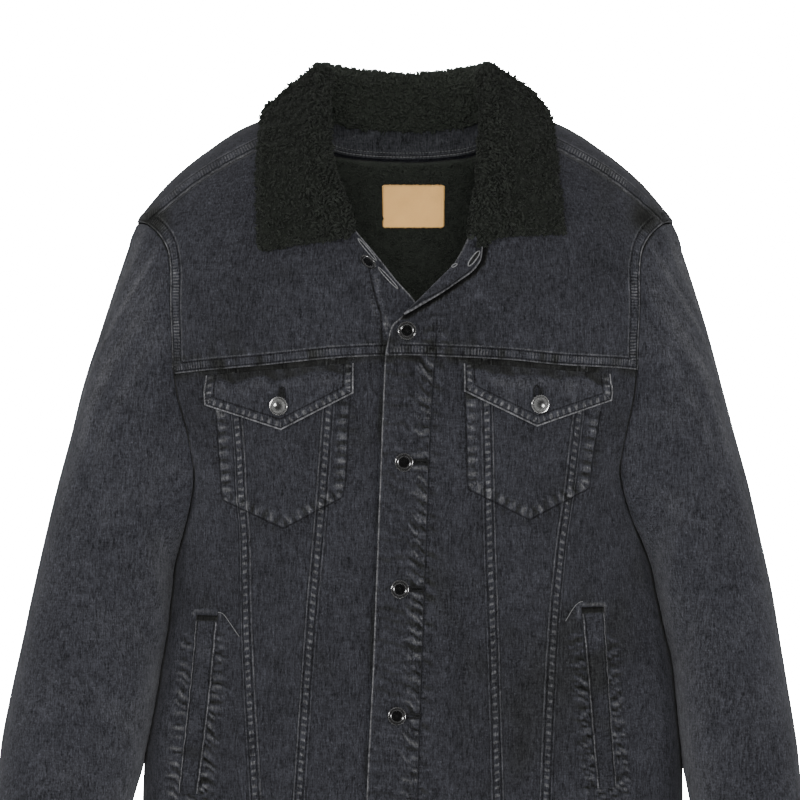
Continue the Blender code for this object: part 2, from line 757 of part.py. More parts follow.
def back_yoke():
    """Over both shoulders, from the front shoulder seams to the back yoke seam.

    It is laid out round the back, its angle growing from the right front to the left front.
    """
    holes = {side: armhole(side) for side in SIDES}
    outer = {}
    for side, hole in holes.items():
        front = hole["front"][:ARM_TOP_STEPS + 1][::-1]
        outer[side] = np.vstack([front, hole["back"][1:ARM_BACK_STEPS + 1]])
    across_steps = 2 * (NECK_BACK_STEPS - ARM_TOP_STEPS - ARM_BACK_STEPS)
    start = outer["L"][-1]
    end = outer["R"][-1].copy()
    end[0] += 2 * math.pi
    middle = across_seam(BACK_YOKE_SEAM, start, end, across_steps)
    far = outer["R"][::-1].copy()
    far[:, 0] += 2 * math.pi
    outline = np.vstack([outer["L"], middle[1:-1], far])
    near = neck_back("R")[::-1].copy()
    near[:, 0] += 2 * math.pi
    near[0, 0] = math.pi
    neckline = np.vstack([neck_back("L"), near[1:]])
    rows = 7
    left = shoulder_seam("L", rows)
    right = shoulder_seam("R", rows)
    right[:, 0] += 2 * math.pi
    places = patch(left, right, neckline, outline)
    panel("back_yoke", places, DENIM)


def waistband():
    """One strip round the hem, lapped left over right like the fronts."""
    columns = 40
    rows = np.linspace(WAIST_SEAM, HEM, 3)
    start = smooth(OVERLAP_EDGE, "height", "x", rows)
    end = smooth(UNDERLAP_EDGE, "height", "x", rows)
    first = place(start, rows)[:, 0]
    last = place(end, rows)[:, 0] + 2 * math.pi
    share = np.linspace(0, 1, columns + 1)
    angle = first[:, None] + (last - first)[:, None] * share[None]
    height = np.repeat(rows[:, None] * MM, columns + 1, axis=1)
    over = ease((share - 0.93) / 0.04)[None]
    lift = 1.0 * MM * (1 - over) - (UNDERLAP_DROP + 0.8 * MM) * over
    panel("waistband", np.stack([angle, height], axis=-1), BAND, lift=lift)


# ---- what lies on the panels ------------------------------------------------------------------
def flap(side):
    size = FLAPS[side]
    (x1, z1), (x2, z2) = size["top"]
    tip_x, tip_z = size["tip"]
    knots = np.array([x1, (x1 + tip_x) / 2, tip_x, (x2 + tip_x) / 2, x2])
    x = np.sort(np.concatenate([knots, (knots[:-1] + knots[1:]) / 2]))
    top = np.interp(x, [x1, x2], [z1 - FLAP_DROP, z2 - FLAP_DROP])
    bottom = np.interp(x, [x1, tip_x, x2], [size["side"][0], tip_z, size["side"][1]])
    v = np.linspace(0, 1, 4)[:, None]
    z = top + v * (bottom - top)
    lift = (2.4 + 2.2 * np.sin(math.pi * np.clip(v, 0, 1) * 0.7)) * MM
    places = place(np.repeat(x[None], 4, axis=0), z)
    panel(f"flap_{side}", places, FLAP, lift=lift)
    bx, bz = FLAP_BUTTONS[side]
    button(f"flap_button_{side}", bx, bz, 4.9 * MM)


def welt(side):
    size = WELTS[side]
    v = np.linspace(0, 1, 7)[:, None]
    ends = [np.array(size[name], float) for name in ("outer", "inner")]
    lines = [(1 - v) * end[0] + v * end[1] for end in ends]
    if lines[0][0, 0] > lines[1][0, 0]:
        lines = lines[::-1]
    u = np.linspace(0, 1, 4)[None, :, None]
    flat = (1 - u) * lines[0][:, None] + u * lines[1][:, None]
    lift = (2.5 + 0.8 * np.sin(math.pi * u[..., 0])) * MM
    panel(f"welt_{side}", place(flat[..., 0], flat[..., 1]), WELT, lift=lift)


def facing():
    """The facing that turns out along the left front's open V."""
    rows = len(FACING_EDGE["x"])
    v = np.linspace(0, 1, 4)[None]
    x = FACING_ROLL["x"][:, None] * (1 - v) + FACING_EDGE["x"][:, None] * v
    z = FACING_ROLL["height"][:, None] * (1 - v) + FACING_EDGE["height"][:, None] * v
    taper = np.linspace(1, 0.55, rows)[:, None]
    lift = (3.2 + 3.4 * np.sin(math.pi * np.clip(v, 0, 0.98)) * taper) * MM
    panel("facing_L", place(x, z), PLACKET, lift=lift)


def button_profile():
    """Half of a shank button's section: radius and height above its seat."""
    r = BUTTON_RADIUS
    return [(0.45 * r, 0), (0.5 * r, 0.9 * MM), (0.97 * r, 1.6 * MM), (r, 2.7 * MM), (0.8 * r, 3.6 * MM)]


def button(name, x, z, lift, turn=0.0, base=None):
    """A round metal button whose seat lies on the cloth; turn tips it about its upright axis."""
    profile = button_profile()
    vertices = []
    for radius, height in profile:
        for i in range(BUTTON_SIDES):
            angle = 2 * math.pi * i / BUTTON_SIDES
            vertices.append((radius * math.cos(angle), radius * math.sin(angle), height))
    rings = len(profile)
    faces = [list(range(BUTTON_SIDES))[::-1]]
    for i in range(rings - 1):
        for j in range(BUTTON_SIDES):
            k = (j + 1) % BUTTON_SIDES
            a = i * BUTTON_SIDES
            b = a + BUTTON_SIDES
            faces.append([a + j, a + k, b + k, b + j])
    faces.append(list(range((rings - 1) * BUTTON_SIDES, rings * BUTTON_SIDES)))
    if base is None:
        spot = place(x, z)
        seat = torso(spot[0], spot[1], np.array(lift))
        out = form_normal(spot[0], spot[1])
    else:
        seat, out = base
    out = out / np.linalg.norm(out)
    across = np.cross((0, 0, 1), out)
    across /= np.linalg.norm(across)
    out = out * math.cos(turn) + across * math.sin(turn)
    across = np.cross((0, 0, 1), out)
    across /= np.linalg.norm(across)
    up = np.cross(out, across)
    axes = np.stack([across, up, out])
    placed = np.array(vertices) @ axes + seat
    add_object(name, placed, faces, "metal")


def front_buttons():
    for i, (x, z) in enumerate(FRONT_BUTTONS, 1):
        if i == 1:
            lean = BUTTON_RADIUS * 0.5 * math.sin(TOP_BUTTON_TURN) + 0.6 * MM
            button(f"front_button_{i}", x, z, lean, TOP_BUTTON_TURN)
        else:
            proud = 0.0 if i == 2 else (0.6 * MM if z > WAIST_SEAM else 1.0 * MM)
            button(f"front_button_{i}", x, z, proud + BUTTON_SEAT)


# ---- sleeves ----------------------------------------------------------------------------------
def armhole_loop(side):
    """Places all round an armhole: shoulder point, down the front, up the back."""
    hole = armhole(side)
    return np.vstack([hole["front"], hole["back"][::-1][1:-1]])


def ring_at(side, along, angle):
    """Points of a sleeve ring before the armhole's own shape is blended in."""
    sign = SIDES[side]
    outer_z = SHOULDER_POINT + (WRIST_OUTER - SHOULDER_POINT) * along
    inner_z = PIT + (WRIST_INNER - PIT) * along
    outer_x = smooth(SLEEVE_OUTER[side], "height", "x", outer_z)
    inner_x = smooth(SLEEVE_INNER[side], "height", "x", inner_z)
    middle_y = smooth(SLEEVE_RINGS, "along", "middle_y", along)
    depth = smooth(SLEEVE_RINGS, "along", "half_depth", along)
    square = smooth(SLEEVE_RINGS, "along", "squareness", along)
    s = np.sin(angle)
    c = np.cos(angle)
    reach = (np.abs(s) ** square + np.abs(c) ** square) ** (-1 / square)
    x = (outer_x + inner_x) / 2 + (outer_x - inner_x) / 2 * c * reach
    z = (outer_z + inner_z) / 2 + (outer_z - inner_z) / 2 * c * reach
    y = middle_y - depth * s * reach
    return np.stack([sign * x, y, z], axis=-1) * MM


def clear_of_torso(points, clearance):
    """Points that would be in the torso are moved out to just clear of it."""
    centre, half_width, front, back, square = section(points[..., 2])
    x = points[..., 0] - centre
    y = points[..., 1]
    depth = np.where(y < 0, front, back)
    inside = ((np.abs(x) / half_width) ** square + (np.abs(y) / depth) ** square) ** (1 / square)
    radius = np.hypot(x, y)
    wanted = 1 + (clearance + fold_room(points)) / np.maximum(radius, 0.02)
    push = np.maximum(inside, wanted) / np.maximum(inside, 1e-6)
    out = points.copy()
    out[..., 0] = centre + x * push
    out[..., 1] = y * push
    return out


def fold_room(points):
    return np.maximum(fold_depth(points), 0.0)


def crease_depth(angle, along, folds=SLEEVE_FOLDS):
    depth = np.zeros(np.broadcast(angle, along).shape)
    degrees = np.degrees(angle) % 360
    for at, where, angle_span, along_span, slant, height in zip(*folds.values()):
        turn = (degrees - at + 180) % 360 - 180
        offset = along - where - slant * turn / 60
        depth += height * np.exp(-((turn / angle_span) ** 2) - (offset / along_span) ** 2)
    return depth * MM


def sleeve_grid(side):
    """Rings by columns of the whole sleeve, with its column angles."""
    loop = armhole_loop(side)
    hole = torso(loop[:, 0], loop[:, 1])
    pit_column = ARM_TOP_STEPS + ARM_YOKE_STEPS + ARM_LOW_STEPS
    top = hole[0, 2]
    bottom = hole[pit_column, 2]
    level = (hole[:, 2] - (top + bottom) / 2) / ((top - bottom) / 2)
    angle = np.arccos(np.clip(level, -1, 1))
    angle[pit_column + 1:] = 2 * math.pi - angle[pit_column + 1:]
    even = np.linspace(0, 2 * math.pi, len(angle), endpoint=False)
    steps = np.linspace(0, 1, SLEEVE_STEPS + 1)
    shares = 0.85 * steps + 0.15 * steps**2
    first = ring_at(side, np.zeros(len(angle)), angle)
    rings = []
    for along in shares:
        turn = angle + (even - angle) * ease(along / 0.5) * 0.6
        ring = ring_at(side, np.full(len(angle), along), turn)
        ring += (hole - first) * (1 - ease(along / SLEEVE_BLEND))
        if along > 0:
            middle = ring.mean(axis=0)
            out = ring - middle
            out /= np.linalg.norm(out, axis=1, keepdims=True)
            ring += out * (crease_depth(turn, np.full(len(turn), along)) * ease(along / 0.1))[:, None]
            ring = clear_of_torso(ring, SLEEVE_CLEAR * ease(along / 0.06))
        rings.append(ring)
    return np.array(rings)


def outward_normals(rings):
    """Normals of closed rings, all pointing away from the rings' middles."""
    normals = grid_normals(rings, ring=True)
    spokes = rings - rings.mean(axis=1, keepdims=True)
    return normals * np.sign((normals * spokes).sum())


def sleeves(side):
    grid = sleeve_grid(side)
    columns = grid.shape[1]
    pit = ARM_TOP_STEPS + ARM_YOKE_STEPS + ARM_LOW_STEPS
    front_seam = pit - 1
    back_seam = pit + ARM_LOW_STEPS
    upper = [i % columns for i in range(back_seam, columns + front_seam + 1)]
    under = list(range(front_seam, back_seam + 1))
    inner = grid - outward_normals(grid) * DENIM
    cloth(f"sleeve_upper_{side}", grid[:, upper], inner[:, upper], "denim")
    cloth(f"sleeve_under_{side}", grid[:, under], inner[:, under], "denim")
    cuff(side, grid[-1], grid[-1] - grid[-2])


def cuff(side, wrist, run):
    """A band on from the sleeve's last ring, and its button at the back of the wrist."""
    middle = wrist.mean(axis=0)
    axis = run.mean(axis=0)
    axis /= np.linalg.norm(axis)
    spokes = wrist - middle
    turned = np.linspace(0, len(wrist), CUFF_STEPS, endpoint=False)
    ring = np.stack(
        [np.interp(turned, np.arange(len(wrist) + 1), np.append(c, c[0])) for c in spokes.T], axis=1
    )
    rows = []
    for share in (0.0, 0.5, 1.0):
        scale = 1.03 - 0.04 * share
        rows.append(middle + ring * scale + axis * CUFF_LENGTH * MM * share)
    grid = np.array(rows)
    inner = grid - outward_normals(grid) * CUFF
    cloth(f"cuff_{side}", grid, inner, "denim", ring=True, gap=2 * SEAM_GAP)
    place_index = int(CUFF_STEPS * 0.62)
    spoke = ring[place_index] - axis * np.dot(ring[place_index], axis)
    out = spoke / np.linalg.norm(spoke)
    seat = grid[1][place_index] + out * BUTTON_SEAT
    button(f"cuff_button_{side}", 0, 0, 0, base=(seat, out))


# ---- collar and neck --------------------------------------------------------------------------
def neckline(side):
    """Places from the front end to centre back, and each one's station from 0 to 8."""
    front = neck_front(side)
    back = neck_back(side)
    places = np.vstack([front, back[1:]])
    front_stations = np.linspace(0, SHOULDER_STATION, len(front))
    points = bare_form(back[:, 0], back[:, 1])
    lengths = np.concatenate([[0], np.cumsum(np.linalg.norm(np.diff(points, axis=0), axis=1))])
    back_stations = SHOULDER_STATION + (BACK_STATION - SHOULDER_STATION) * lengths / lengths[-1]
    return places, np.concatenate([front_stations, back_stations[1:]])


def collar_lines(side):
    """Station, neckline place, outer edge's place and centre of the roll, down one half."""
    sign = SIDES[side]
    places, station = neckline(side)
    roll = np.stack([smooth(COLLAR, "station", f"roll_{axis}", station) for axis in "xyz"], axis=1)
    end_shift = NECK_FRONT[side]["x"][0] * sign - NECK_FRONT["R"]["x"][0] * SIDES["R"]
    roll[:, 0] += end_shift * (1 - passed(station, FRONT_END)) * COLLAR_END_SHIFT
    roll[:, 0] *= sign
    rows = COLLAR_EDGE[side]
    ends = place(rows["x"], rows["height"], rows["back"] > 0.5)
    ends = bare_form(ends[:, 0], ends[:, 1])
    named = {"station": rows["station"], "x": ends[:, 0], "y": ends[:, 1], "z": ends[:, 2]}
    edge = np.stack([smooth(named, "station", axis, station) for axis in "xyz"], axis=1)
    back = passed(station, BACK_PART)
    return {
        "station": station,
        "place": places,
        "edge": edge,
        "roll": roll * MM,
        "loft": COLLAR_LOFT[side] * passed(station, FRONT_END) * (1 - back) + COLLAR_LOFT_BACK * back,
        "share": smooth(COLLAR, "station", "pile_start", station),
    }


def whole(halves, key):
    """One array from the right front end round the back to the left front end."""
    return np.concatenate([halves["R"][key], halves["L"][key][::-1][1:]])


def unit(vectors):
    return vectors / np.linalg.norm(vectors, axis=-1, keepdims=True)


def level_out(vectors):
    """Level directions away from the neck's middle."""
    return unit(vectors * np.array([1.0, 1.0, 0.0]))


def form_reach(points):
    """Above 1 outside the torso form, below 1 inside it."""
    centre, half_width, front, back, square = section(points[..., 2])
    depth = np.where(points[..., 1] < 0, front, back)
    across = (np.abs(points[..., 0] - centre) / half_width) ** square
    return (across + (np.abs(points[..., 1]) / depth) ** square) ** (1 / square)


def form_slope(points):
    """How fast form_reach grows at the points, along each axis."""
    step = 0.5 * MM
    return np.stack(
        [
            (form_reach(points + axis * step) - form_reach(points - axis * step)) / (2 * step)
            for axis in np.eye(3)
        ],
        axis=-1,
    )


def kept_above(points, clearance):
    """Points nearer than the clearance to the torso's outer face are moved out to it."""
    points = points.copy()
    for _ in range(5):
        slope = form_slope(points)
        steepness = np.maximum(np.linalg.norm(slope, axis=-1), 1.0)
        height = (form_reach(points) - 1) / steepness
        below = np.maximum(clearance + fold_room(points) - height, 0)
        below = np.where(points[..., 2] > FORM_TOP, 0, below)
        points += slope / steepness[..., None] * below[..., None]
    return points


def collar_core():
    """The face of the collar's denim that is folded inside it, and the directions out of it.

    Rows run round the neck; columns from the neck seam up the stand, over the roll and down the
    fall to the outer edge. Everything else in the collar is this face moved out.
    """
    halves = {side: collar_lines(side) for side in SIDES}
    station, places, edge, roll, share, lofts = (
        whole(halves, key) for key in ("station", "place", "edge", "roll", "share", "loft")
    )
    seam = torso(places[:, 0], places[:, 1])
    end_out = unit(form_slope(edge))
    end = edge + end_out * (COLLAR_SEAT + fold_room(edge))[:, None]
    seam_out = form_normal(places[:, 0], places[:, 1])
    along = unit(np.gradient(roll, axis=0))
    standing = passed(station, STANDING_UP)[:, None]
    fall = unit(unit(end - seam) * (1 - standing) + level_out(seam) * standing)
    fall = unit(fall - along * (fall * along).sum(axis=1, keepdims=True))
    up = np.cross(along, fall)

    on_panel = 1 - passed(station, ON_PANEL_END)[:, None]
    shift = np.maximum(((roll - seam) * fall).sum(axis=1) - ROLL_RADIUS, 0)[:, None] * on_panel
    off = np.cross(unit(np.gradient(seam, axis=0)), seam_out)
    off *= np.sign((off * (roll - seam)).sum(axis=1))[:, None]
    root = kept_above(seam + fall * shift, 0.0) + seam_out * on_panel * COLLAR_SEAT
    root += off * (1 - on_panel) * 2 * SEAM_GAP
    root_out = unit(-fall * on_panel - seam_out * (1 - on_panel))

    to_end = end - roll
    turn = np.arctan2((to_end * fall).sum(axis=1), (to_end * up).sum(axis=1))[:, None]
    columns = []
    normals = []
    for step in range(ROLL_STEPS + 1):
        angle = turn * step / ROLL_STEPS
        out = up * np.sin(angle) - fall * np.cos(angle)
        columns.append(roll + out * ROLL_RADIUS)
        normals.append(out)
    first = columns[0]
    start = root + (first - root) * share[:, None]
    start_out = unit(root_out * (1 - share[:, None]) + normals[0] * share[:, None])
    middle_out = unit(start_out + normals[0])
    columns = [root, start, (start + first) / 2] + columns
    normals = [root_out, start_out, middle_out] + normals
    last = columns[-1]
    last_out = normals[-1]
    for step in FALL_STEPS:
        out = unit(last_out * (1 - step) + end_out * step)
        loft = lofts[:, None] * math.sin(math.pi * step)
        points = last + (end - last) * step + out * loft
        columns.append(kept_above(points, COLLAR_SEAT))
        normals.append(out)
    return np.array(columns).transpose(1, 0, 2), np.array(normals).transpose(1, 0, 2)


def collar():
    core, out = collar_core()
    pile_seat = COLLAR_DENIM + 2 * SEAM_GAP
    cloth("collar_under", core, core + out * COLLAR_DENIM, "denim")
    face = core[:, 1:]
    face_out = out[:, 1:]
    near = face + face_out * pile_seat
    cloth("collar_top", near, near + face_out * PILE, "sherpa")
    neck_band(core, out, pile_seat)


def neck_band(core, out, seat):
    """The denim strip inside the back neck, from the pile's lower edge down over the neck seam."""
    middle = len(core) // 2
    keep = slice(middle - NECK_BAND_REACH, middle + NECK_BAND_REACH + 1)
    share = np.array([0, 0.5, 1, 1])[None, :, None]
    strip = core[keep, 1][:, None] * (1 - share) + core[keep, 0][:, None] * share
    strip[:, -1, 2] -= NECK_BAND_DROP
    level = level_out(out[keep, 1])[:, None]
    strip_out = unit(out[keep, 1][:, None] * (1 - share) + level * share)
    depth = seat + NECK_BAND_EASE * share
    cloth("neck_band", strip + strip_out * depth, strip + strip_out * (depth + DENIM), "denim")


# ---- lining -----------------------------------------------------------------------------------
def thinned(places, step=2):
    """Every second place, with the last one kept."""
    kept = places[::step]
    return kept if (len(places) - 1) % step == 0 else np.vstack([kept, places[-1:]])


def ridge(side, count):
    """Places along the top of the shoulder, from the neck to the shoulder point."""
    sign = SIDES[side]
    start = np.array([sign * math.pi / 2, NECK_BACK["height"][NECK_RIDGE_ROW] * MM])
    end = np.array([sign * math.pi / 2, SHOULDER_POINT * MM])
    return level_line(start, end, count)


def lining_side(side, face):
    """From the shoulder point down the armhole and the side to the hem."""
    down = np.linspace(PIT - LINING_PIT_DROP, WAIST_SEAM + LINING_HEM, SIDE_STEPS + 1) * MM
    angle = np.full(len(down), SIDES[side] * math.pi / 2)
    return thinned(np.vstack([armhole(side)[face][:-3], np.stack([angle, down], axis=1)]))


def lining_wall(name, places, inset=LINING_INSET):
    """A wall of pile hung inside the torso form, clear of the shell's folds."""
    angle = places[..., 0]
    height = places[..., 1]
    points = bare_form(angle, height)
    inward = -form_normal(angle, height)
    outer = points + inward * inset
    return cloth(name, outer, outer + inward * LINING, "sherpa", gap=LINING_EDGE)


def lining_front(side):
    """From the shoulder's ridge to the hem, its front edge set back from the opening."""
    right = lining_side(side, "front")
    neck = np.vstack([ridge(side, 1)[:1], neck_front(side)[::-1]])
    rows = LINING_FRONT[side]
    count = len(right) - len(neck)
    z = np.linspace(NECK_FRONT[side]["height"][0], WAIST_SEAM + LINING_HEM, count + 1)[1:]
    left = np.vstack([neck, place(smooth(rows, "height", "x", z), z)])
    columns = 6
    top = ridge(side, columns)
    bottom = level_line(left[-1], right[-1], columns)
    places = patch(left, right, top, bottom)
    lining_wall(f"lining_front_{side}", places, LINING_INSET_LEFT if side == "L" else LINING_INSET)


def lining_back():
    """One piece from shoulder ridge to shoulder ridge, down to the hem."""
    columns = 12
    left = np.vstack([ridge("L", 2)[:-1], lining_side("L", "back")])
    right = np.vstack([ridge("R", 2)[:-1], lining_side("R", "back")])
    right[:, 0] += 2 * math.pi
    half = neck_back("L")[NECK_RIDGE_STEP:]
    half = np.vstack([left[:1], half[1:]])
    other = half[::-1].copy()
    other[:, 0] = 2 * math.pi - other[:, 0]
    neck = thinned(np.vstack([half, other[1:]]), 2)
    bottom = level_line(left[-1], right[-1], len(neck) - 1)
    places = patch(left, right, neck, bottom)
    return lining_wall("lining_back", places)


def label(backing):
    """A bare patch sewn on the back lining, laid on its facets."""
    tree = BVHTree.FromObject(backing, bpy.context.evaluated_depsgraph_get())
    front = []
    for height in np.linspace(*LABEL_BOX["height"], 4) * MM:
        for x in np.linspace(*LABEL_BOX["x"], 5) * MM:
            spot, out, _, _ = tree.ray_cast((x, 0, height), (0, 1, 0))
            front.append(np.array(spot) + np.array(out) * LABEL_SEAT)
    grid = np.array(front).reshape(4, 5, 3)
    out = grid_normals(grid)
    out *= -np.sign(out[..., 1:2])
    cloth("label", grid, grid + out * LABEL_WALL, "label", gap=0.0)


def main():
    clear_objects()
    for side in SIDES:
        front_yoke(side)
        front_panels(side)
        flap(side)
        welt(side)
        sleeves(side)
    back_yoke()
    back_panels()
    waistband()
    facing()
    front_buttons()
    collar()
    for side in SIDES:
        lining_front(side)
    label(lining_back())


main()
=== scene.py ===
"""The looks of a sherpa-lined denim jacket: cloth, seams, pile, buttons and the light on them.

The jacket's form is that of its solids: a torso of rounded sections, rings for the sleeves, and
a collar rolled over a neckline. Here each piece is a thin shell on that form, finer, with its
creases, seam bands and puckers. Metres, +Z up; tables are in millimetres.
R and L are the wearer's right (-X) and left (+X).
"""

import math

import bpy
import numpy as np
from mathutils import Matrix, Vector
from mathutils.bvhtree import BVHTree


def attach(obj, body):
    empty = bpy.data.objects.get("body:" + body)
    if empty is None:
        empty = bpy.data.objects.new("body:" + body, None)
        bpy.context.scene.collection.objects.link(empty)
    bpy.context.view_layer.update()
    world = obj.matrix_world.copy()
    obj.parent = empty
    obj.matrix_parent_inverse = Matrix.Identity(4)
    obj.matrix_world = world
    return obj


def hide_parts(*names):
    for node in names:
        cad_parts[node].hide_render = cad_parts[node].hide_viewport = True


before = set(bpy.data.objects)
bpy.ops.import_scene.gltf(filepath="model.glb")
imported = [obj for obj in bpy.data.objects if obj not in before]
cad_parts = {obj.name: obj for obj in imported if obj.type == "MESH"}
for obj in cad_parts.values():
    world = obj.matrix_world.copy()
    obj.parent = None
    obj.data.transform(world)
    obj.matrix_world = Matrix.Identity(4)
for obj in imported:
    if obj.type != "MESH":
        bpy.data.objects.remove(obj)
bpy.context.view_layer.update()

MM = 0.001
SIDES = {"R": -1, "L": 1}

# ---- sizes shared with the solids -------------------------------------------------------------
DENIM = 1.6 * MM
PLACKET = 2.4 * MM
FLAP = 1.8 * MM
WELT = 2.0 * MM
BAND = 3.0 * MM
CUFF = 2.4 * MM
PILE = 7.0 * MM
COLLAR_DENIM = 1.4 * MM
LINING = 6.0 * MM
LINING_INSET = 6.4 * MM
SEAM_GAP = 0.2 * MM
SLEEVE_CLEAR = 1.0 * MM
UNDERLAP_DROP = 3.4 * MM
BUTTON_SEAT = 0.3 * MM
WAIST_SEAM = -595.0
HEM = -640.0
PIT = -307.0
SHOULDER_POINT = -65.0


def table(names, rows):
    return dict(zip(names, np.array(rows, float).T))


TORSO = table(
    ("height", "centre", "half_width", "front", "back", "squareness"),
    [
        (44, 0, 60, 14, 18, 2.0),
        (35.5, 0, 98.5, 35, 40, 2.0),
        (21.6, 0, 141.8, 56, 62, 2.05),
        (0, 0, 176.4, 77, 83, 2.1),
        (-14.4, 0, 195.3, 88, 94, 2.1),
        (-28.8, 0, 211.5, 96, 103, 2.1),
        (-43.2, 0, 224.6, 102, 110, 2.1),
        (-65, 0, 240.3, 110, 118, 2.1),
        (-90, 0, 248, 116, 124, 2.15),
        (-130, 0, 248, 122, 130, 2.2),
        (-180, 0, 242, 127, 131, 2.2),
        (-240, 1, 226, 128, 127, 2.2),
        (-290, 2, 210, 126, 122, 2.2),
        (-310, 3, 207, 124, 120, 2.2),
        (-360, 6.5, 213, 122, 117, 2.25),
        (-430, 10, 225, 120, 115, 2.3),
        (-470, 11, 232, 119, 115, 2.3),
        (-530, 8, 241, 118, 116, 2.3),
        (-595, 7, 243, 118, 118, 2.3),
        (-640, 7, 239, 117, 117, 2.3),
        (-660, 7, 239, 117, 117, 2.3),
    ],
)
FOLDS = table(
    ("x1", "z1", "x2", "z2", "width", "depth", "face"),
    [
        (-186, -270, -120, -330, 20, 3.5, -1),
        (188, -262, 128, -330, 20, 3.5, -1),
        (-196, -360, -176, -560, 24, -4.0, -1),
        (208, -380, 190, -560, 24, -4.0, -1),
        (-28, -330, -60, -560, 26, 2.5, -1),
        (104, -420, 112, -570, 22, -3.0, -1),
        (-110, -440, -118, -570, 20, -3.0, -1),
        (-190, -150, -150, -330, 24, 4.0, 1),
        (190, -150, 150, -330, 24, 4.0, 1),
        (-90, -360, -100, -580, 30, -4.0, 1),
        (95, -340, 104, -580, 30, -4.0, 1),
        (0, -300, 6, -560, 34, 4.0, 1),
        (-150, -480, 150, -520, 22, 3.0, 1),
    ],
)
# Finer creases than the solids carry, placed one by one.
CREASES = table(
    ("x1", "z1", "x2", "z2", "width", "depth", "face"),
    [
        (-205, -96, -176, -150, 6, -0.9, -1),
        (-196, -150, -168, -196, 8, 0.8, -1),
        (206, -92, 178, -140, 6, -0.9, -1),
        (199, -150, 170, -190, 8, 0.8, -1),
        (-196, -238, -160, -292, 7, -1.0, -1),
        (-192, -262, -150, -322, 9, 1.0, -1),
        (196, -236, 160, -290, 7, -1.0, -1),
        (190, -258, 150, -326, 9, 1.0, -1),
        (-170, -346, -150, -470, 9, 0.8, -1),
        (176, -350, 160, -480, 9, 0.8, -1),
        (-104, -350, -112, -440, 8, -0.7, -1),
        (-88, -470, -96, -560, 8, 0.7, -1),
        (96, -352, 102, -450, 8, 0.7, -1),
        (104, -480, 100, -570, 9, -0.7, -1),
        (42, -300, 50, -400, 9, 0.6, -1),
        (56, -430, 48, -560, 10, -0.7, -1),
        (-48, -250, -54, -340, 8, 0.6, -1),
        (-24, -96, -16, -150, 5, -1.2, -1),
        (-36, -112, -22, -160, 5, 0.9, -1),
        (-160, -120, -60, -112, 9, -0.5, -1),
        (60, -130, 170, -116, 9, -0.5, -1),
        (-150, -90, -126, -180, 10, 0.5, -1),
        (152, -96, 132, -176, 10, 0.5, -1),
        (-196, -110, -150, -210, 8, -1.2, 1),
        (198, -120, 152, -216, 8, -1.2, 1),
        (-170, -230, -120, -340, 10, 1.2, 1),
        (166, -236, 122, -330, 10, 1.2, 1),
        (-60, -220, -70, -330, 10, -0.9, 1),
        (52, -210, 64, -340, 10, -0.9, 1),
        (-130, -400, -142, -540, 9, 1.0, 1),
        (136, -390, 148, -550, 9, 1.0, 1),
        (-30, -380, -40, -520, 9, -1.0, 1),
        (34, -400, 42, -560, 9, -1.0, 1),
        (-180, -430, -60, -452, 9, 0.9, 1),
        (40, -440, 176, -428, 9, 0.9, 1),
    ],
)

SEAM_NAMES = ("height", "x")
ACROSS_NAMES = ("x", "height")
RIGHT_INNER = table(SEAM_NAMES, [(-185, -63), (-234, -67), (-325, -74), (-403, -81), (-600, -95)])
RIGHT_OUTER = table(
    SEAM_NAMES, [(-185, -152), (-243, -147), (-325, -141), (-426, -139), (-600, -130)]
)
LEFT_INNER = table(SEAM_NAMES, [(-185, 70), (-238, 71.5), (-347, 74), (-448, 77.5), (-600, 82)])
LEFT_OUTER = table(SEAM_NAMES, [(-185, 156), (-243, 151), (-314, 141), (-426, 130), (-600, 122)])
OVERLAP_EDGE = table(
    SEAM_NAMES, [(-185, -17.6), (-243, -20), (-365, -24.6), (-478, -29), (-526, -31.6), (-650, -37)]
)
PLACKET_SEAM = table(SEAM_NAMES, [(-185, 26.5), (-225, 23.4), (-336, 19), (-478, 14), (-600, 10)])
UNDERLAP_EDGE = table(SEAM_NAMES, [(-185, 21), (-300, 17), (-430, 12), (-650, 4)])
UNDER_SEAM_INSET = 7.0
YOKE_SEAM = table(
    ACROSS_NAMES,
    [(-215, -203), (-176, -199), (-131, -195.3), (-46, -187.5), (0, -186), (43, -187.5),
     (91, -190), (138, -194.4), (191, -197), (220, -200)],
)
BACK_YOKE_SEAM = table(
    ACROSS_NAMES, [(-225, -158), (-110, -167), (0, -170), (110, -167), (225, -158)]
)
BACK_SEAM = table(SEAM_NAMES, [(-150, 118), (-300, 104), (-450, 84), (-600, 66)])
SEAM_BAND = 4.8

ARMHOLE_FRONT = table(
    ACROSS_NAMES,
    [(240.3, -65), (236, -66.2), (229, -68.5), (219, -77), (211.5, -88), (208, -102), (207, -125),
     (206, -165), (205, -198), (201, -228), (193, -256), (188, -280), (190.5, -297), (200, -305.5),
     (209.5, -307)],
)
ARMHOLE_BACK = table(
    ACROSS_NAMES,
    [(240.3, -65), (235, -71), (228, -84), (223, -105), (220, -132), (218, -158), (213, -200),
     (206, -240), (200, -272), (198, -292), (202, -304), (209.5, -307)],
)
FRONT_STOPS = (0, 2, 8, 14)
BACK_STOPS = (0, 5, 11)
ARM_TOP_STEPS = 2
ARM_YOKE_STEPS = 9
ARM_LOW_STEPS = 7
ARM_BACK_STEPS = 7
SIDE_STEPS = 18

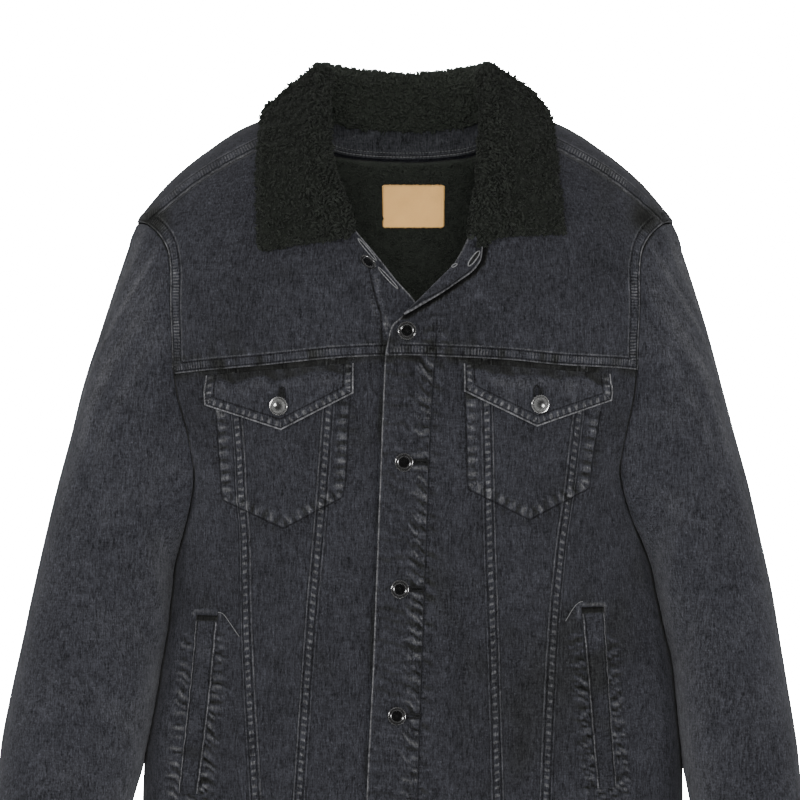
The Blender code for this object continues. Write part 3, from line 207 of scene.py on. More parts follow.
NECK_FRONT = {
    "R": table(ACROSS_NAMES, [(-42, -78), (-58, -51), (-77, -19), (-88, 2), (-94, 14)]),
    "L": table(ACROSS_NAMES, [(56.6, -79), (66, -54), (79, -19), (89, 3), (94, 14)]),
}
NECK_BACK = table(
    ACROSS_NAMES,
    [(94, 14), (97, 22), (98.5, 35.5), (96, 28), (84, 15), (62, 5), (30, 1), (0, 0)],
)
NECK_RIDGE_ROW = 2
NECK_FRONT_STEPS = 4
NECK_BACK_STEPS = 12
V_STEPS = 5
SHOULDER_SEAM = table(
    ACROSS_NAMES, [(94, 14), (133, -2), (175, -25), (214, -54.5), (229, -68.5)]
)
V_EDGE = {
    "R": table(
        ACROSS_NAMES,
        [(-42, -78), (-22.8, -101), (-7.1, -121), (9.5, -139.5), (18, -158), (21, -186)],
    ),
    "L": table(
        ACROSS_NAMES,
        [(56.6, -79), (40.9, -108), (11.2, -138.6), (-4.5, -153.4), (-12.4, -162), (-17.6, -186)],
    ),
}
FACING_EDGE = table(
    ACROSS_NAMES,
    [(68, -84), (67.5, -93), (65.5, -104), (58.4, -113.3), (47.9, -121), (30.4, -133),
     (11.2, -144.5), (0, -151)],
)
FACING_ROLL = table(
    ACROSS_NAMES,
    [(57, -80), (53, -89), (47, -100), (40.9, -108), (31, -118), (20, -129), (9, -140), (-2, -150)],
)
LINING_FRONT = {
    "R": table(SEAM_NAMES, [(-78, -50), (-120, -58), (-200, -60), (-600, -68)]),
    "L": table(SEAM_NAMES, [(-79, 64), (-120, 66), (-200, 62), (-600, 50)]),
}
COLLAR = table(
    ("station", "roll_x", "roll_y", "roll_z"),
    [
        (0, 51.5, -112, -81.5),
        (1, 60.5, -109.5, -57),
        (2, 70.5, -99, -26),
        (3, 75.5, -80, 3),
        (4, 77, -56, 30),
        (5, 76.5, -8, 65),
        (6, 71, 42, 69),
        (7, 44, 76, 67),
        (8, 0, 88, 64),
    ],
)
COLLAR["pile_start"] = np.array([0.1, 0.1, 0.1, 0.15, 0.2, 0.28, 0.34, 0.37, 0.37])
COLLAR_EDGE = {
    "R": table(
        ("station", "x", "height", "back"),
        [(0, -126, -93, 0), (1, -127, -77, 0), (2, -127.5, -48, 0), (3, -128, -22, 0),
         (4, -127.5, -2, 0), (5, -125, 27, 0), (6, -106, 8, 1), (7, -60, -6, 1), (8, 0, -10, 1)],
    ),
    "L": table(
        ("station", "x", "height", "back"),
        [(0, 139.5, -78, 0), (1, 136.5, -64, 0), (2, 134, -40, 0), (3, 132, -18, 0),
         (4, 130.5, -2, 0), (5, 126.5, 26, 0), (6, 106, 8, 1), (7, 60, -6, 1), (8, 0, -10, 1)],
    ),
}
COLLAR_LOFT = {"R": 1.0 * MM, "L": 4.5 * MM}
COLLAR_LOFT_BACK = 4.0 * MM
COLLAR_SEAT = 1.0 * MM
ROLL_RADIUS = 2.0 * MM
FORM_TOP = 44.0 * MM

SLEEVE_OUTER = {
    "R": table(
        SEAM_NAMES,
        [(-65, 240.3), (-86, 248), (-121, 260), (-166, 274.5), (-211, 289), (-256, 299.7),
         (-301, 311.5), (-346, 322), (-391, 331.5), (-436, 340.5), (-481, 350), (-526, 358.5),
         (-580, 366.5), (-620, 370), (-648, 372)],
    ),
    "L": table(
        SEAM_NAMES,
        [(-65, 240.3), (-86, 247.5), (-121, 259), (-166, 272.7), (-211, 284.4), (-256, 296),
         (-301, 308), (-346, 317.7), (-391, 327), (-436, 334), (-481, 341), (-526, 348),
         (-580, 356.5), (-620, 361), (-648, 363.5)],
    ),
}
SLEEVE_INNER = {
    "R": table(
        SEAM_NAMES,
        [(-307, 204.5), (-346, 203), (-420, 209), (-472, 218), (-534, 230), (-600, 248),
         (-672, 284)],
    ),
    "L": table(
        SEAM_NAMES,
        [(-307, 210.5), (-346, 213), (-420, 227), (-459, 237), (-535, 246), (-600, 257),
         (-672, 280)],
    ),
}
WRIST_OUTER = -648.0
WRIST_INNER = -672.0
SLEEVE_RINGS = table(
    ("along", "middle_y", "half_depth", "squareness"),
    [
        (0.0, 0, 70, 2.0),
        (0.15, -1, 78, 2.1),
        (0.30, -4, 77, 2.25),
        (0.45, -12, 74, 2.35),
        (0.60, -27, 70, 2.35),
        (0.75, -42, 65, 2.3),
        (0.90, -56, 55, 2.2),
        (1.0, -65, 46, 2.1),
    ],
)
SLEEVE_BLEND = 0.22
SLEEVE_FOLDS = table(
    ("angle", "along", "angle_span", "along_span", "slant", "depth"),
    [
        (150, 0.20, 46, 0.030, 0.05, -4.0),
        (140, 0.30, 50, 0.034, 0.09, 4.0),
        (150, 0.42, 48, 0.032, 0.05, -4.0),
        (120, 0.52, 60, 0.036, -0.06, 3.5),
        (150, 0.60, 52, 0.032, 0.05, -4.0),
        (110, 0.70, 60, 0.034, 0.07, 3.0),
        (60, 0.80, 60, 0.034, -0.05, -3.0),
        (230, 0.34, 50, 0.034, -0.08, 4.0),
        (240, 0.50, 56, 0.034, 0.06, -4.5),
        (220, 0.64, 56, 0.034, -0.05, 4.0),
        (300, 0.78, 60, 0.034, 0.06, -3.0),
    ],
)
CUFF_LENGTH = 50.0
FLAPS = {
    "R": {"top": [(-174.5, -203), (-44.7, -192.5)], "side": [-229, -219], "tip": (-107.5, -251)},
    "L": {"top": [(51, -192.5), (180, -201.5)], "side": [-217.5, -225], "tip": (114, -248)},
}
FLAP_DROP = 1.4
WELTS = {
    "R": {"outer": [(-185.5, -415), (-199, -572)], "inner": [(-165, -415), (-183, -572)]},
    "L": {"outer": [(173.6, -407), (186, -566)], "inner": [(154.4, -407), (169, -566)]},
}
FRONT_BUTTONS = [
    (-30.7, -103.7), (1.6, -164.8), (-1, -279.1), (-4.5, -390), (-7.1, -500.9), (-9.5, -615),
]
FLAP_BUTTONS = {"R": (-108.7, -230), "L": (116, -228.5)}
BUTTON_RADIUS = 8.2 * MM
# The top button hangs by its shank, turned down and outward.
TOP_BUTTON_FACE = (-0.54, -0.52, -0.66)
LABEL_BOX = {"x": (-20.6, 36.4), "height": (-28.5, -68)}

# Stitched outlines of the pocket bags and of the pocket openings, as (x, height) on the front.
POCKET_LINES = {
    "R": [(-166, -238), (-163.4, -285), (-160, -313), (-106.6, -337.6), (-54.3, -309.7),
          (-51.6, -294), (-48.2, -226)],
    "L": [(52.3, -224), (54, -294), (54.9, -302.7), (109, -329.8), (161.4, -302.7), (166.6, -267),
          (171.9, -234.6)],
}
# The facing's buttonhole and bar tack: x, height and the way each points, in degrees.
FACING_HOLE = (60.0, -101.5, 53)
FACING_TACK = (43.0, -107.5, 30)
# Loops of stitches along the right edge of the V: x, height, direction, length, half width.
V_LOOPS = [(-33.2, -93.5, -50.5, 25, 1.2), (-15.0, -118.4, -47.5, 25, 1.15)]
# The crease that the worn-open collar leaves below the top button, the short fold beside it, and
# the stitches below the V on the left front.
V_CREASE = [(-20.2, -177), (-21.1, -151), (-26, -135), (-31.6, -111)]
V_FOLD = [(-20.0, -157.5), (-14.5, -158.5), (-10.5, -163)]
V_STITCHES = [(28.5, -146), (27, -170), (26.5, -188)]
ARM_BAND_SCALE = 0.92
SHOULDER_BAND_SCALE = 0.62
WELT_CURVES = {
    "R": [(-165, -412), (-160, -413.6), (-153.8, -421.4), (-145.5, -433)],
    "L": [(155.5, -402), (152, -403), (147, -408), (140.4, -418.8)],
}


# ---- curves and the torso form ----------------------------------------------------------------
def smooth(rows, key, column, at):
    """The table's column at the key's values, on a curve that never overshoots its rows."""
    order = np.argsort(rows[key])
    xs = rows[key][order]
    ys = rows[column][order]
    step = np.diff(xs)
    slope = np.diff(ys) / step
    tangent = np.empty_like(ys)
    tangent[0] = slope[0]
    tangent[-1] = slope[-1]
    near = 2 * step[1:] + step[:-1]
    far = step[1:] + 2 * step[:-1]
    same = slope[:-1] * slope[1:] > 0
    safe_a = np.where(same, slope[:-1], 1.0)
    safe_b = np.where(same, slope[1:], 1.0)
    tangent[1:-1] = np.where(same, (near + far) / (near / safe_a + far / safe_b), 0.0)
    at = np.clip(np.asarray(at, float), xs[0], xs[-1])
    i = np.clip(np.searchsorted(xs, at, side="right") - 1, 0, len(xs) - 2)
    t = (at - xs[i]) / step[i]
    return (
        ys[i] * (1 + 2 * t) * (1 - t) ** 2
        + tangent[i] * step[i] * t * (1 - t) ** 2
        + ys[i + 1] * t * t * (3 - 2 * t)
        + tangent[i + 1] * step[i] * t * t * (t - 1)
    )


def ease(t):
    t = np.clip(t, 0.0, 1.0)
    return t * t * (3 - 2 * t)


def bell(gap, width):
    return np.exp(-((gap / width) ** 2))


def front_view(points):
    """The x and height (mm) of points."""
    return points[..., 0] / MM, points[..., 2] / MM


def superellipse(s, c, square):
    """How far a rounded section reaches in a direction, as a share of its half sizes."""
    return (np.abs(s) ** square + np.abs(c) ** square) ** (-1 / square)


def round_turns(count):
    return 2 * math.pi * np.arange(count) / count


def wrapped(grid):
    """The grid with its first column again at its end."""
    return np.concatenate([grid, grid[:, :1]], axis=1)


def grid_quads(index):
    """The faces of a grid of vertex numbers."""
    corners = [index[:-1, :-1], index[:-1, 1:], index[1:, 1:], index[1:, :-1]]
    return np.stack(corners, axis=-1).reshape(-1, 4)


def curve_through(points, steps=24):
    points = np.asarray(points, float)
    ends = np.concatenate([2 * points[:1] - points[1:2], points, 2 * points[-1:] - points[-2:-1]])
    t = np.linspace(0, 1, steps, endpoint=False).reshape((-1,) + (1,) * (points.ndim - 1))
    spans = []
    for a, b, c, d in zip(ends[:-3], ends[1:-2], ends[2:-1], ends[3:]):
        cubic = (3 * b - a - 3 * c + d) * t**3
        square = (2 * a - 5 * b + 4 * c - d) * t**2
        spans.append(0.5 * (2 * b + (c - a) * t + square + cubic))
    return np.concatenate(spans + [points[-1:]])


def spaced(values, lengths, count):
    at = np.linspace(lengths[0], lengths[-1], count + 1)
    return np.stack([np.interp(at, lengths, column) for column in values.T], axis=1)


def lengths_along(points):
    return np.concatenate([[0], np.cumsum(np.linalg.norm(np.diff(points, axis=0), axis=1))])


def section(height):
    at = np.asarray(height) / MM
    names = ("centre", "half_width", "front", "back")
    sizes = [smooth(TORSO, "height", name, at) * MM for name in names]
    return (*sizes, smooth(TORSO, "height", "squareness", at))


def bare_form(angle, height):
    centre, half_width, front, back, square = section(height)
    s = np.sin(angle)
    c = np.cos(angle)
    reach = superellipse(s, c, square)
    depth = np.where(c > 0, front, back)
    return np.stack([centre + half_width * s * reach, -depth * c * reach, height + 0 * s], axis=-1)


def unit(vectors):
    return vectors / np.maximum(np.linalg.norm(vectors, axis=-1, keepdims=True), 1e-12)


def form_normal(angle, height):
    turn = 2e-3
    rise = 0.4 * MM
    along = bare_form(angle + turn, height) - bare_form(angle - turn, height)
    up = bare_form(angle, height + rise) - bare_form(angle, height - rise)
    return unit(np.cross(along, up))


def distance_to_line(x, z, x1, z1, x2, z2):
    length2 = (x2 - x1) ** 2 + (z2 - z1) ** 2
    t = np.clip(((x - x1) * (x2 - x1) + (z - z1) * (z2 - z1)) / length2, 0, 1)
    return np.hypot(x - x1 - t * (x2 - x1), z - z1 - t * (z2 - z1)), t


def form_at(places):
    return bare_form(places[..., 0], places[..., 1])


def normal_at(places):
    return form_normal(places[..., 0], places[..., 1])


def fold_depth(points, rows=FOLDS, floor=0.6):
    x, z = front_view(points)
    depth = np.zeros(x.shape)
    for x1, z1, x2, z2, width, height, face in zip(*rows.values()):
        gap, t = distance_to_line(x, z, x1, z1, x2, z2)
        facing = ease(points[..., 1] * face / MM / 40 - 0.2)
        taper = floor + (1 - floor) * np.sin(math.pi * t)
        depth += height * bell(gap, width) * taper * facing
    return depth * MM


def torso(angle, height, lift=0.0):
    angle = np.asarray(angle, float)
    height = np.asarray(height, float)
    points = bare_form(angle, height)
    out = fold_depth(points) + lift
    return points + form_normal(angle, height) * out[..., None]


def torso_at(places, lift=0.0):
    return torso(places[..., 0], places[..., 1], lift)


def place(x, height, back=False):
    x = np.asarray(x, float) * MM
    height = np.asarray(height, float) * MM
    centre, half_width, _, _, square = section(height)
    across = np.clip(np.abs(x - centre) / half_width, 0, 1 - 1e-9) ** square
    angle = np.arctan((across / (1 - across)) ** (1 / square))
    angle = np.where(np.abs(x - centre) >= half_width * 0.9995, math.pi / 2, angle)
    angle = np.where(np.asarray(back, bool), math.pi - angle, angle)
    return np.stack([angle * np.where(x < centre, -1, 1), height], axis=-1)


def route(places, stops, counts):
    fine_steps = 24
    fine = curve_through(places, fine_steps)
    lengths = lengths_along(form_at(fine))
    pieces = []
    for a, b, count in zip(stops[:-1], stops[1:], counts):
        span = slice(a * fine_steps, b * fine_steps + 1)
        pieces.append(spaced(fine[span], lengths[span], count)[:-1])
    return np.vstack(pieces + [fine[stops[-1] * fine_steps][None]])


def mirrored(places):
    return places * np.array([-1.0, 1.0])


# ---- seam lines as places, each with n samples to the solids' one ------------------------------
def armhole(side, n=1):
    sign = SIDES[side]
    out = {}
    faces = (("front", ARMHOLE_FRONT, FRONT_STOPS), ("back", ARMHOLE_BACK, BACK_STOPS))
    for face, rows, stops in faces:
        x = rows["x"] * sign + smooth(TORSO, "height", "centre", rows["height"])
        places = place(x, rows["height"], face == "back")
        for end in (0, -1):
            places[end, 0] = sign * math.pi / 2
        places[-1, 1] = PIT * MM
        if face == "front":
            counts = (ARM_TOP_STEPS * n, ARM_YOKE_STEPS * n, ARM_LOW_STEPS * n)
        else:
            counts = (ARM_BACK_STEPS * n, ARM_LOW_STEPS * n)
        out[face] = route(places, stops, counts)
    return out


def neck_front(side, n=1):
    rows = NECK_FRONT[side]
    places = place(rows["x"], rows["height"])
    return route(places, [0, len(places) - 1], [NECK_FRONT_STEPS * n])


def neck_back(side, n=1):
    backs = np.arange(len(NECK_BACK["x"])) > NECK_RIDGE_ROW
    places = place(NECK_BACK["x"], NECK_BACK["height"], backs)
    places[NECK_RIDGE_ROW, 0] = math.pi / 2
    places = route(places, [0, len(places) - 1], [NECK_BACK_STEPS * n])
    return places if side == "L" else mirrored(places)


def shoulder_seam(side, count):
    places = place(SHOULDER_SEAM["x"], SHOULDER_SEAM["height"])
    places[-1] = armhole("L")["front"][ARM_TOP_STEPS]
    places = route(places, [0, len(places) - 1], [count])
    if side == "L":
        return places
    # The right shoulder's seam sags a little toward the front.
    share = np.linspace(-1, 1, len(places))
    places[:, 1] -= 4.2 * MM * (1 - share**4)
    return mirrored(places)


def v_edge(side, n=1):
    rows = V_EDGE[side]
    places = place(rows["x"], rows["height"])
    return route(places, [0, len(places) - 1], [V_STEPS * n])


def across_seam(rows, start, end, count):
    angle = np.linspace(start[0], end[0], count + 1)
    height = np.linspace(start[1], end[1], count + 1)
    for _ in range(3):
        x = bare_form(angle, height)[:, 0] / MM
        height = smooth(rows, "x", "height", x) * MM
    places = np.stack([angle, height], axis=1)
    places[0] = start
    places[-1] = end
    return places


def level_line(start, end, count):
    share = np.linspace(0, 1, count + 1)[:, None]
    return start * (1 - share) + end * share


def patch(left, right, top, bottom):
    v = np.linspace(0, 1, len(left))[:, None, None]
    u = np.linspace(0, 1, len(top))[None, :, None]
    sides = (1 - u) * left[:, None] + u * right[:, None]
    ends = (1 - v) * top[None] + v * bottom[None]
    upper = (1 - u) * top[0] + u * top[-1]
    lower = (1 - u) * bottom[0] + u * bottom[-1]
    corners = (1 - v) * upper + v * lower
    return sides + ends - corners


# ---- fields that the cloth's relief and colour are made from ----------------------------------
def near_line(points, line):
    """Distance (mm) from points to a line in space, and the place along it (mm)."""
    flat = points.reshape(-1, 3)
    lengths = lengths_along(line)
    best = np.full(len(flat), 1e9)
    along = np.zeros(len(flat))
    for a, b, start in zip(line[:-1], line[1:], lengths[:-1]):
        run = b - a
        length = np.linalg.norm(run)
        if length < 1e-9:
            continue
        t = np.clip((flat - a) @ run / length**2, 0, 1)
        gap = np.linalg.norm(flat - a - t[:, None] * run, axis=1)
        nearer = gap < best
        best = np.where(nearer, gap, best)
        along = np.where(nearer, start + t * length, along)
    return best.reshape(points.shape[:-1]) / MM, along.reshape(points.shape[:-1]) / MM


def near_flat(points, line):
    """Signed distance (mm) on the front's (x, height) plane to a line, and the place along it."""
    line = np.array(line, float)
    x, z = front_view(points)
    best = np.full(x.shape, 1e9)
    along = np.zeros(x.shape)
    start = 0.0
    for (x1, z1), (x2, z2) in zip(line[:-1], line[1:]):
        gap, t = distance_to_line(x, z, x1, z1, x2, z2)
        side = np.sign((x2 - x1) * (z - z1) - (z2 - z1) * (x - x1))
        length = math.hypot(x2 - x1, z2 - z1)
        nearer = gap < np.abs(best)
        best = np.where(nearer, gap * np.where(side == 0, 1, side), best)
        along = np.where(nearer, start + t * length, along)
        start += length
    return best, along


def nearest(found):
    """The nearest of several (distance, along) pairs, point by point."""
    best, along = found[0]
    for gap, place_along in found[1:]:
        nearer = np.abs(gap) < np.abs(best)
        best = np.where(nearer, gap, best)
        along = np.where(nearer, place_along, along)
    return best, along


def signed(found, positive):
    return np.where(positive, found[0], -found[0]), found[1]


# Kinds of stitched edge: with puckers between two rows, with close rungs, or only folded.
HEMMED = 0.0
FELLED = 1.0
FOLDED = 2.0


def nearest_edge(*found):
    """The nearest of several (distance, along, kind) edges, as fields of the cloth."""
    best, along, kind = found[0]
    kind = kind + 0 * best
    for gap, place_along, other_kind in found[1:]:
        nearer = gap < best
        best = np.where(nearer, gap, best)
        along = np.where(nearer, place_along, along)
        kind = np.where(nearer, other_kind, kind)
    return {"edge_d": best, "edge_s": along, "edge_k": kind}


def wavy(t, seed):
    """An uneven wave in -1..1, the same for the same seed."""
    rng = np.random.default_rng(seed)
    total = np.zeros(np.shape(t))
    for ratio, share in ((1.0, 0.55), (1.37, 0.3), (0.61, 0.35), (2.3, 0.2)):
        total = total + share * np.sin(ratio * t + rng.uniform(0, 6.28))
    return np.clip(total / 0.9, -1, 1)


def soft_noise(points, size, seed):
    """Smooth noise in -1..1 over space, with features about size across (m)."""
    rng = np.random.default_rng(seed)
    total = np.zeros(points.shape[:-1])
    for _ in range(9):
        direction = rng.normal(size=3)
        direction *= 2 * math.pi / size / np.linalg.norm(direction) * rng.uniform(0.5, 1.2)
        total = total + np.sin(points @ direction + rng.uniform(0, 6.28))
    return total / 4.0


def puckers(along, across, period, seed, slant=0.0):
    """Uneven gathers along a row of stitches, leaning by the slant: a wave in -1..1."""
    drift = 0.9 * wavy(along / 19.0, seed) + 0.6 * wavy(along / 31.0 + across / 13.0, seed + 1)
    return wavy((along + slant * across) * 2 * math.pi / period + drift, seed + 2)


def scuffed(wave, light, dark):
    """Rubbed pale where a wave stands up, dark where it dips."""
    return light * np.clip(wave * 1.5 - 0.2, 0, 1) - dark * np.clip(-wave * 1.4 - 0.1, 0, 1)


# ---- meshes -----------------------------------------------------------------------------------
MATERIALS = {}


def add_piece(name, vertices, faces, finish, nodes, fields=None, grain=None):
    name = f"{name}_look"
    mesh = bpy.data.meshes.new(name)
    mesh.from_pydata(np.asarray(vertices).tolist(), [], faces.tolist())
    mesh.update()
    mesh.shade_smooth()
    if grain is None:
        grain = vertices
    layer = mesh.attributes.new("grain", "FLOAT_VECTOR", "POINT")
    layer.data.foreach_set("vector", np.asarray(grain, np.float32).ravel())
    for key, values in (fields or {}).items():
        layer = mesh.attributes.new(key, "FLOAT", "POINT")
        layer.data.foreach_set("value", np.asarray(values, np.float32).ravel())
    made = bpy.data.objects.new(name, mesh)
    made.data.materials.append(MATERIALS[finish])
    bpy.context.scene.collection.objects.link(made)
    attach(made, "root")
    if nodes:
        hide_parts(*nodes)
    return made


def grid_normals(grid, ring=False):
    if ring:
        across = np.roll(grid, -1, axis=1) - np.roll(grid, 1, axis=1)
    else:
        across = np.gradient(grid, axis=1)
    return unit(np.cross(np.gradient(grid, axis=0), across))


# The last field scales the cloth's colour: real wash and wear, and painted shade and painted light.
FIELD_NAMES = ("band_d", "band_s", "edge_d", "edge_s", "edge_k", "line_d", "line_s", "wear_and_shade")
# Distances (mm): out of a seam's reach, and added past an edge so that its rim stays outside.
FAR = 200.0
TURN_FADE = 2.5


def outward_quads(index, points, out):
    """The faces of a grid of vertex numbers, turned outward, and whether that took a flip."""
    corners = [index[:-1, :-1], index[1:, :-1], index[1:, 1:], index[:-1, 1:]]
    faces = np.stack(corners, axis=-1).reshape(-1, 4)
    origin, next_row, _, next_column = faces.T
    facing = np.cross(points[next_row] - points[origin], points[next_column] - points[origin])
    flipped = np.sum(facing * out[origin]) < 0
    return (faces[:, ::-1] if flipped else faces), flipped


def shell(name, grid, out, thickness, nodes, finish="denim", fields=None, ring=False,
          turn_under=4.0 * MM, grain=None):
    """A thin shell: its outer face, with edges turned down by the thickness and back under."""
    rows, columns = grid.shape[:2]
    points = grid.reshape(-1, 3)
    grains = [points if grain is None else grain.reshape(-1, 3)]
    index = np.arange(rows * columns).reshape(rows, columns)
    if ring:
        index = wrapped(index)
    flat_out = out.reshape(-1, 3)
    faces, flipped = outward_quads(index, points, flat_out)
    all_fields = {
        key: np.full((rows, columns), FAR if key.endswith("_d") else 0.0) for key in FIELD_NAMES
    }
    all_fields.update(fields or {})
    vertices = [points]
    values = {
        key: [np.broadcast_to(v, (rows, columns)).reshape(-1)] for key, v in all_fields.items()
    }
    total = len(points)
    new_faces = [faces]
    borders = [(index[0, :], grid[1]), (index[-1, :], grid[-2])]
    if not ring:
        borders += [(index[:, 0], grid[:, 1]), (index[:, -1], grid[:, -2])]
    for k, (border, inside) in enumerate(borders):
        if ring:
            inside = np.concatenate([inside, inside[:1]])
        edge_points = points[border]
        inward = unit(inside - edge_points)
        first = edge_points - flat_out[border] * thickness
        second = first + inward * turn_under
        count = len(border)
        first_row = total + np.arange(count)
        second_row = first_row + count
        vertices += [first, second]
        for deep in (thickness, thickness + turn_under):
            grains.append(grains[0][border])
            for key in values:
                further = deep / MM + TURN_FADE if key == "edge_d" else 0.0
                values[key].append(values[key][0][border] + further)
        total += 2 * count
        for low, high in ((border, first_row), (first_row, second_row)):
            quads = np.stack([low[:-1], low[1:], high[1:], high[:-1]], axis=-1)
            turned = (k in (0, 3)) != flipped
            new_faces.append(quads if turned else quads[:, ::-1])
    made = add_piece(
        name,
        np.concatenate(vertices),
        np.concatenate(new_faces),
        finish,
        nodes,
        {key: np.concatenate(v) for key, v in values.items()},
        np.concatenate(grains),
    )
    TURNED[made.name] = 2 * (thickness + turn_under)
    return made


def area_of(grid, ring=False):
    if ring:
        grid = wrapped(grid)
    a = grid[1:, :-1] - grid[:-1, :-1]
    b = grid[:-1, 1:] - grid[:-1, :-1]
    return float(np.linalg.norm(np.cross(a, b), axis=-1).sum())


def declare(made, grid, ring=False):
    """Works out the flat cut that a cloth piece's grid came from, turned edges included; the result
    is not kept.
    """
    closed = wrapped(grid) if ring else grid
    width = float(np.linalg.norm(np.diff(closed, axis=1), axis=-1).sum(axis=1).max())
    length = float(np.linalg.norm(np.diff(closed, axis=0), axis=-1).sum(axis=0).max())
    share = area_of(grid, ring) / (width * length)
    width += 0 if ring else TURNED[made.name]
    length += TURNED[made.name]
    area = min(share, 1) * width * length


TURNED = {}


# ---- materials --------------------------------------------------------------------------------
class Value:
    """A number worked out in a material's nodes."""

    def __init__(self, tree, socket):
        self.tree = tree
        self.socket = socket

    def op(self, kind, *others, clamp=False):
        node = self.tree.nodes.new("ShaderNodeMath")
        node.operation = kind
        node.use_clamp = clamp
        for slot, value in zip(node.inputs, (self, *others)):
            if isinstance(value, Value):
                self.tree.links.new(value.socket, slot)
            else:
                slot.default_value = float(value)
        return Value(self.tree, node.outputs[0])

    def __add__(self, other):
        return self.op("ADD", other)

    __radd__ = __add__

    def __sub__(self, other):
        return self.op("SUBTRACT", other)

    def __rsub__(self, other):
        return self.op("MULTIPLY_ADD", -1.0, other)

    def __mul__(self, other):
        return self.op("MULTIPLY", other)

    __rmul__ = __mul__

    def __truediv__(self, other):
        return self.op("DIVIDE", other)

    def abs(self):
        return self.op("ABSOLUTE")

    def sin(self):
        return self.op("SINE")

    def fract(self):
        return self.op("FRACT")

    def floor(self):
        return self.op("FLOOR")

    def power(self, n):
        return self.op("POWER", n)

    def max(self, other):
        return self.op("MAXIMUM", other)

    def min(self, other):
        return self.op("MINIMUM", other)

    def step(self, low, high):
        """Passes smoothly from 0 at low to 1 at high; high may be the lower."""
        node = self.tree.nodes.new("ShaderNodeMapRange")
        node.interpolation_type = "SMOOTHSTEP"
        self.tree.links.new(self.socket, node.inputs["Value"])
        rising = low < high
        set_inputs(node, {
            "From Min": min(low, high),
            "From Max": max(low, high),
            "To Min": 0.0 if rising else 1.0,
            "To Max": 1.0 if rising else 0.0,
        })
        return Value(self.tree, node.outputs["Result"])

    def ridge(self, centre, width):
        """1 at the centre, falling to 0 at width away on either side."""
        return (self - centre).abs().step(width, 0.0)


def new_material(name):
    made = bpy.data.materials.new(name)
    made.use_nodes = True
    tree = made.node_tree
    shader = tree.nodes["Principled BSDF"]
    MATERIALS[name] = made
    return tree, shader


def set_inputs(node, values):
    for name, value in values.items():
        node.inputs[name].default_value = value


def attribute(tree, name):
    node = tree.nodes.new("ShaderNodeAttribute")
    node.attribute_name = name
    return Value(tree, node.outputs["Fac"])


def grain_vector(tree, scale=(1.0, 1.0, 1.0)):
    """Places in the cloth, in metres with the warp along Z, scaled."""
    node = tree.nodes.new("ShaderNodeAttribute")
    node.attribute_name = "grain"
    scaled = tree.nodes.new("ShaderNodeVectorMath")
    scaled.operation = "MULTIPLY"
    tree.links.new(node.outputs["Vector"], scaled.inputs[0])
    scaled.inputs[1].default_value = scale
    return scaled.outputs[0]


def space_vector(tree):
    return tree.nodes.new("ShaderNodeTexCoord").outputs["Object"]


def noise(tree, vector, scale, detail=2.0, roughness=0.5, distortion=0.0):
    node = tree.nodes.new("ShaderNodeTexNoise")
    tree.links.new(vector, node.inputs["Vector"])
    set_inputs(node, {
        "Scale": scale, "Detail": detail, "Roughness": roughness, "Distortion": distortion,
    })
    return Value(tree, node.outputs["Fac"])


def tinted(tree, colour, factor):
    """The colour times a factor, as a colour socket."""
    node = tree.nodes.new("ShaderNodeVectorMath")
    node.operation = "SCALE"
    node.inputs[0].default_value = colour
    tree.links.new(factor.socket, node.inputs["Scale"])
    return node.outputs[0]


def paint(tree, shader, colour, factor, socket="Base Color"):
    tree.links.new(tinted(tree, colour, factor), shader.inputs[socket])


def mixed_colour(tree, first, second, share):
    node = tree.nodes.new("ShaderNodeMix")
    node.data_type = "RGBA"
    tree.links.new(share.socket, node.inputs["Factor"])
    tree.links.new(first, node.inputs["A"])
    tree.links.new(second, node.inputs["B"])
    return node.outputs["Result"]


def bump(tree, shader, height_mm):
    node = tree.nodes.new("ShaderNodeBump")
    set_inputs(node, {"Strength": 1.0, "Distance": MM})
    tree.links.new(height_mm.socket, node.inputs["Height"])
    tree.links.new(node.outputs["Normal"], shader.inputs["Normal"])


# Spacing (mm) of the rungs, puckers and stitches in the material.
BAND_RUNG = 6.7
PUCKER_RUNG = 6.2
CLOSE_RUNG = 2.7
GATHER_RUNG = 4.6
STITCH = 2.9


def felled_seam(gap, along, jitter, uneven):
    """Rungs between two stitched rows, a pale fold along one side, and the shade beside them."""
    rung = ((along + gap * 0.25) * (2 * math.pi / BAND_RUNG) + jitter * 5.0).sin()
    rungs = rung.step(0.0, 0.9) * (gap + 0.4).ridge(0.0, 3.2).step(0.1, 0.5)
    rungs = rungs * (uneven * 1.5 + 0.15)
    rows = (gap - 2.9).ridge(0.0, 1.2) + (gap + 3.6).ridge(0.0, 1.2)
    fold = (gap - 4.7).ridge(0.0, 0.95) * (uneven * 1.7 - 0.1).max(0.0)
    fold = fold + (gap + 5.2).ridge(0.0, 0.9) * (uneven * 1.4 - 0.3).max(0.0)
    shade = (gap + 6.4).ridge(0.0, 1.3) + (gap - 5.9).ridge(0.0, 1.3)
    return rungs, rows, fold, shade


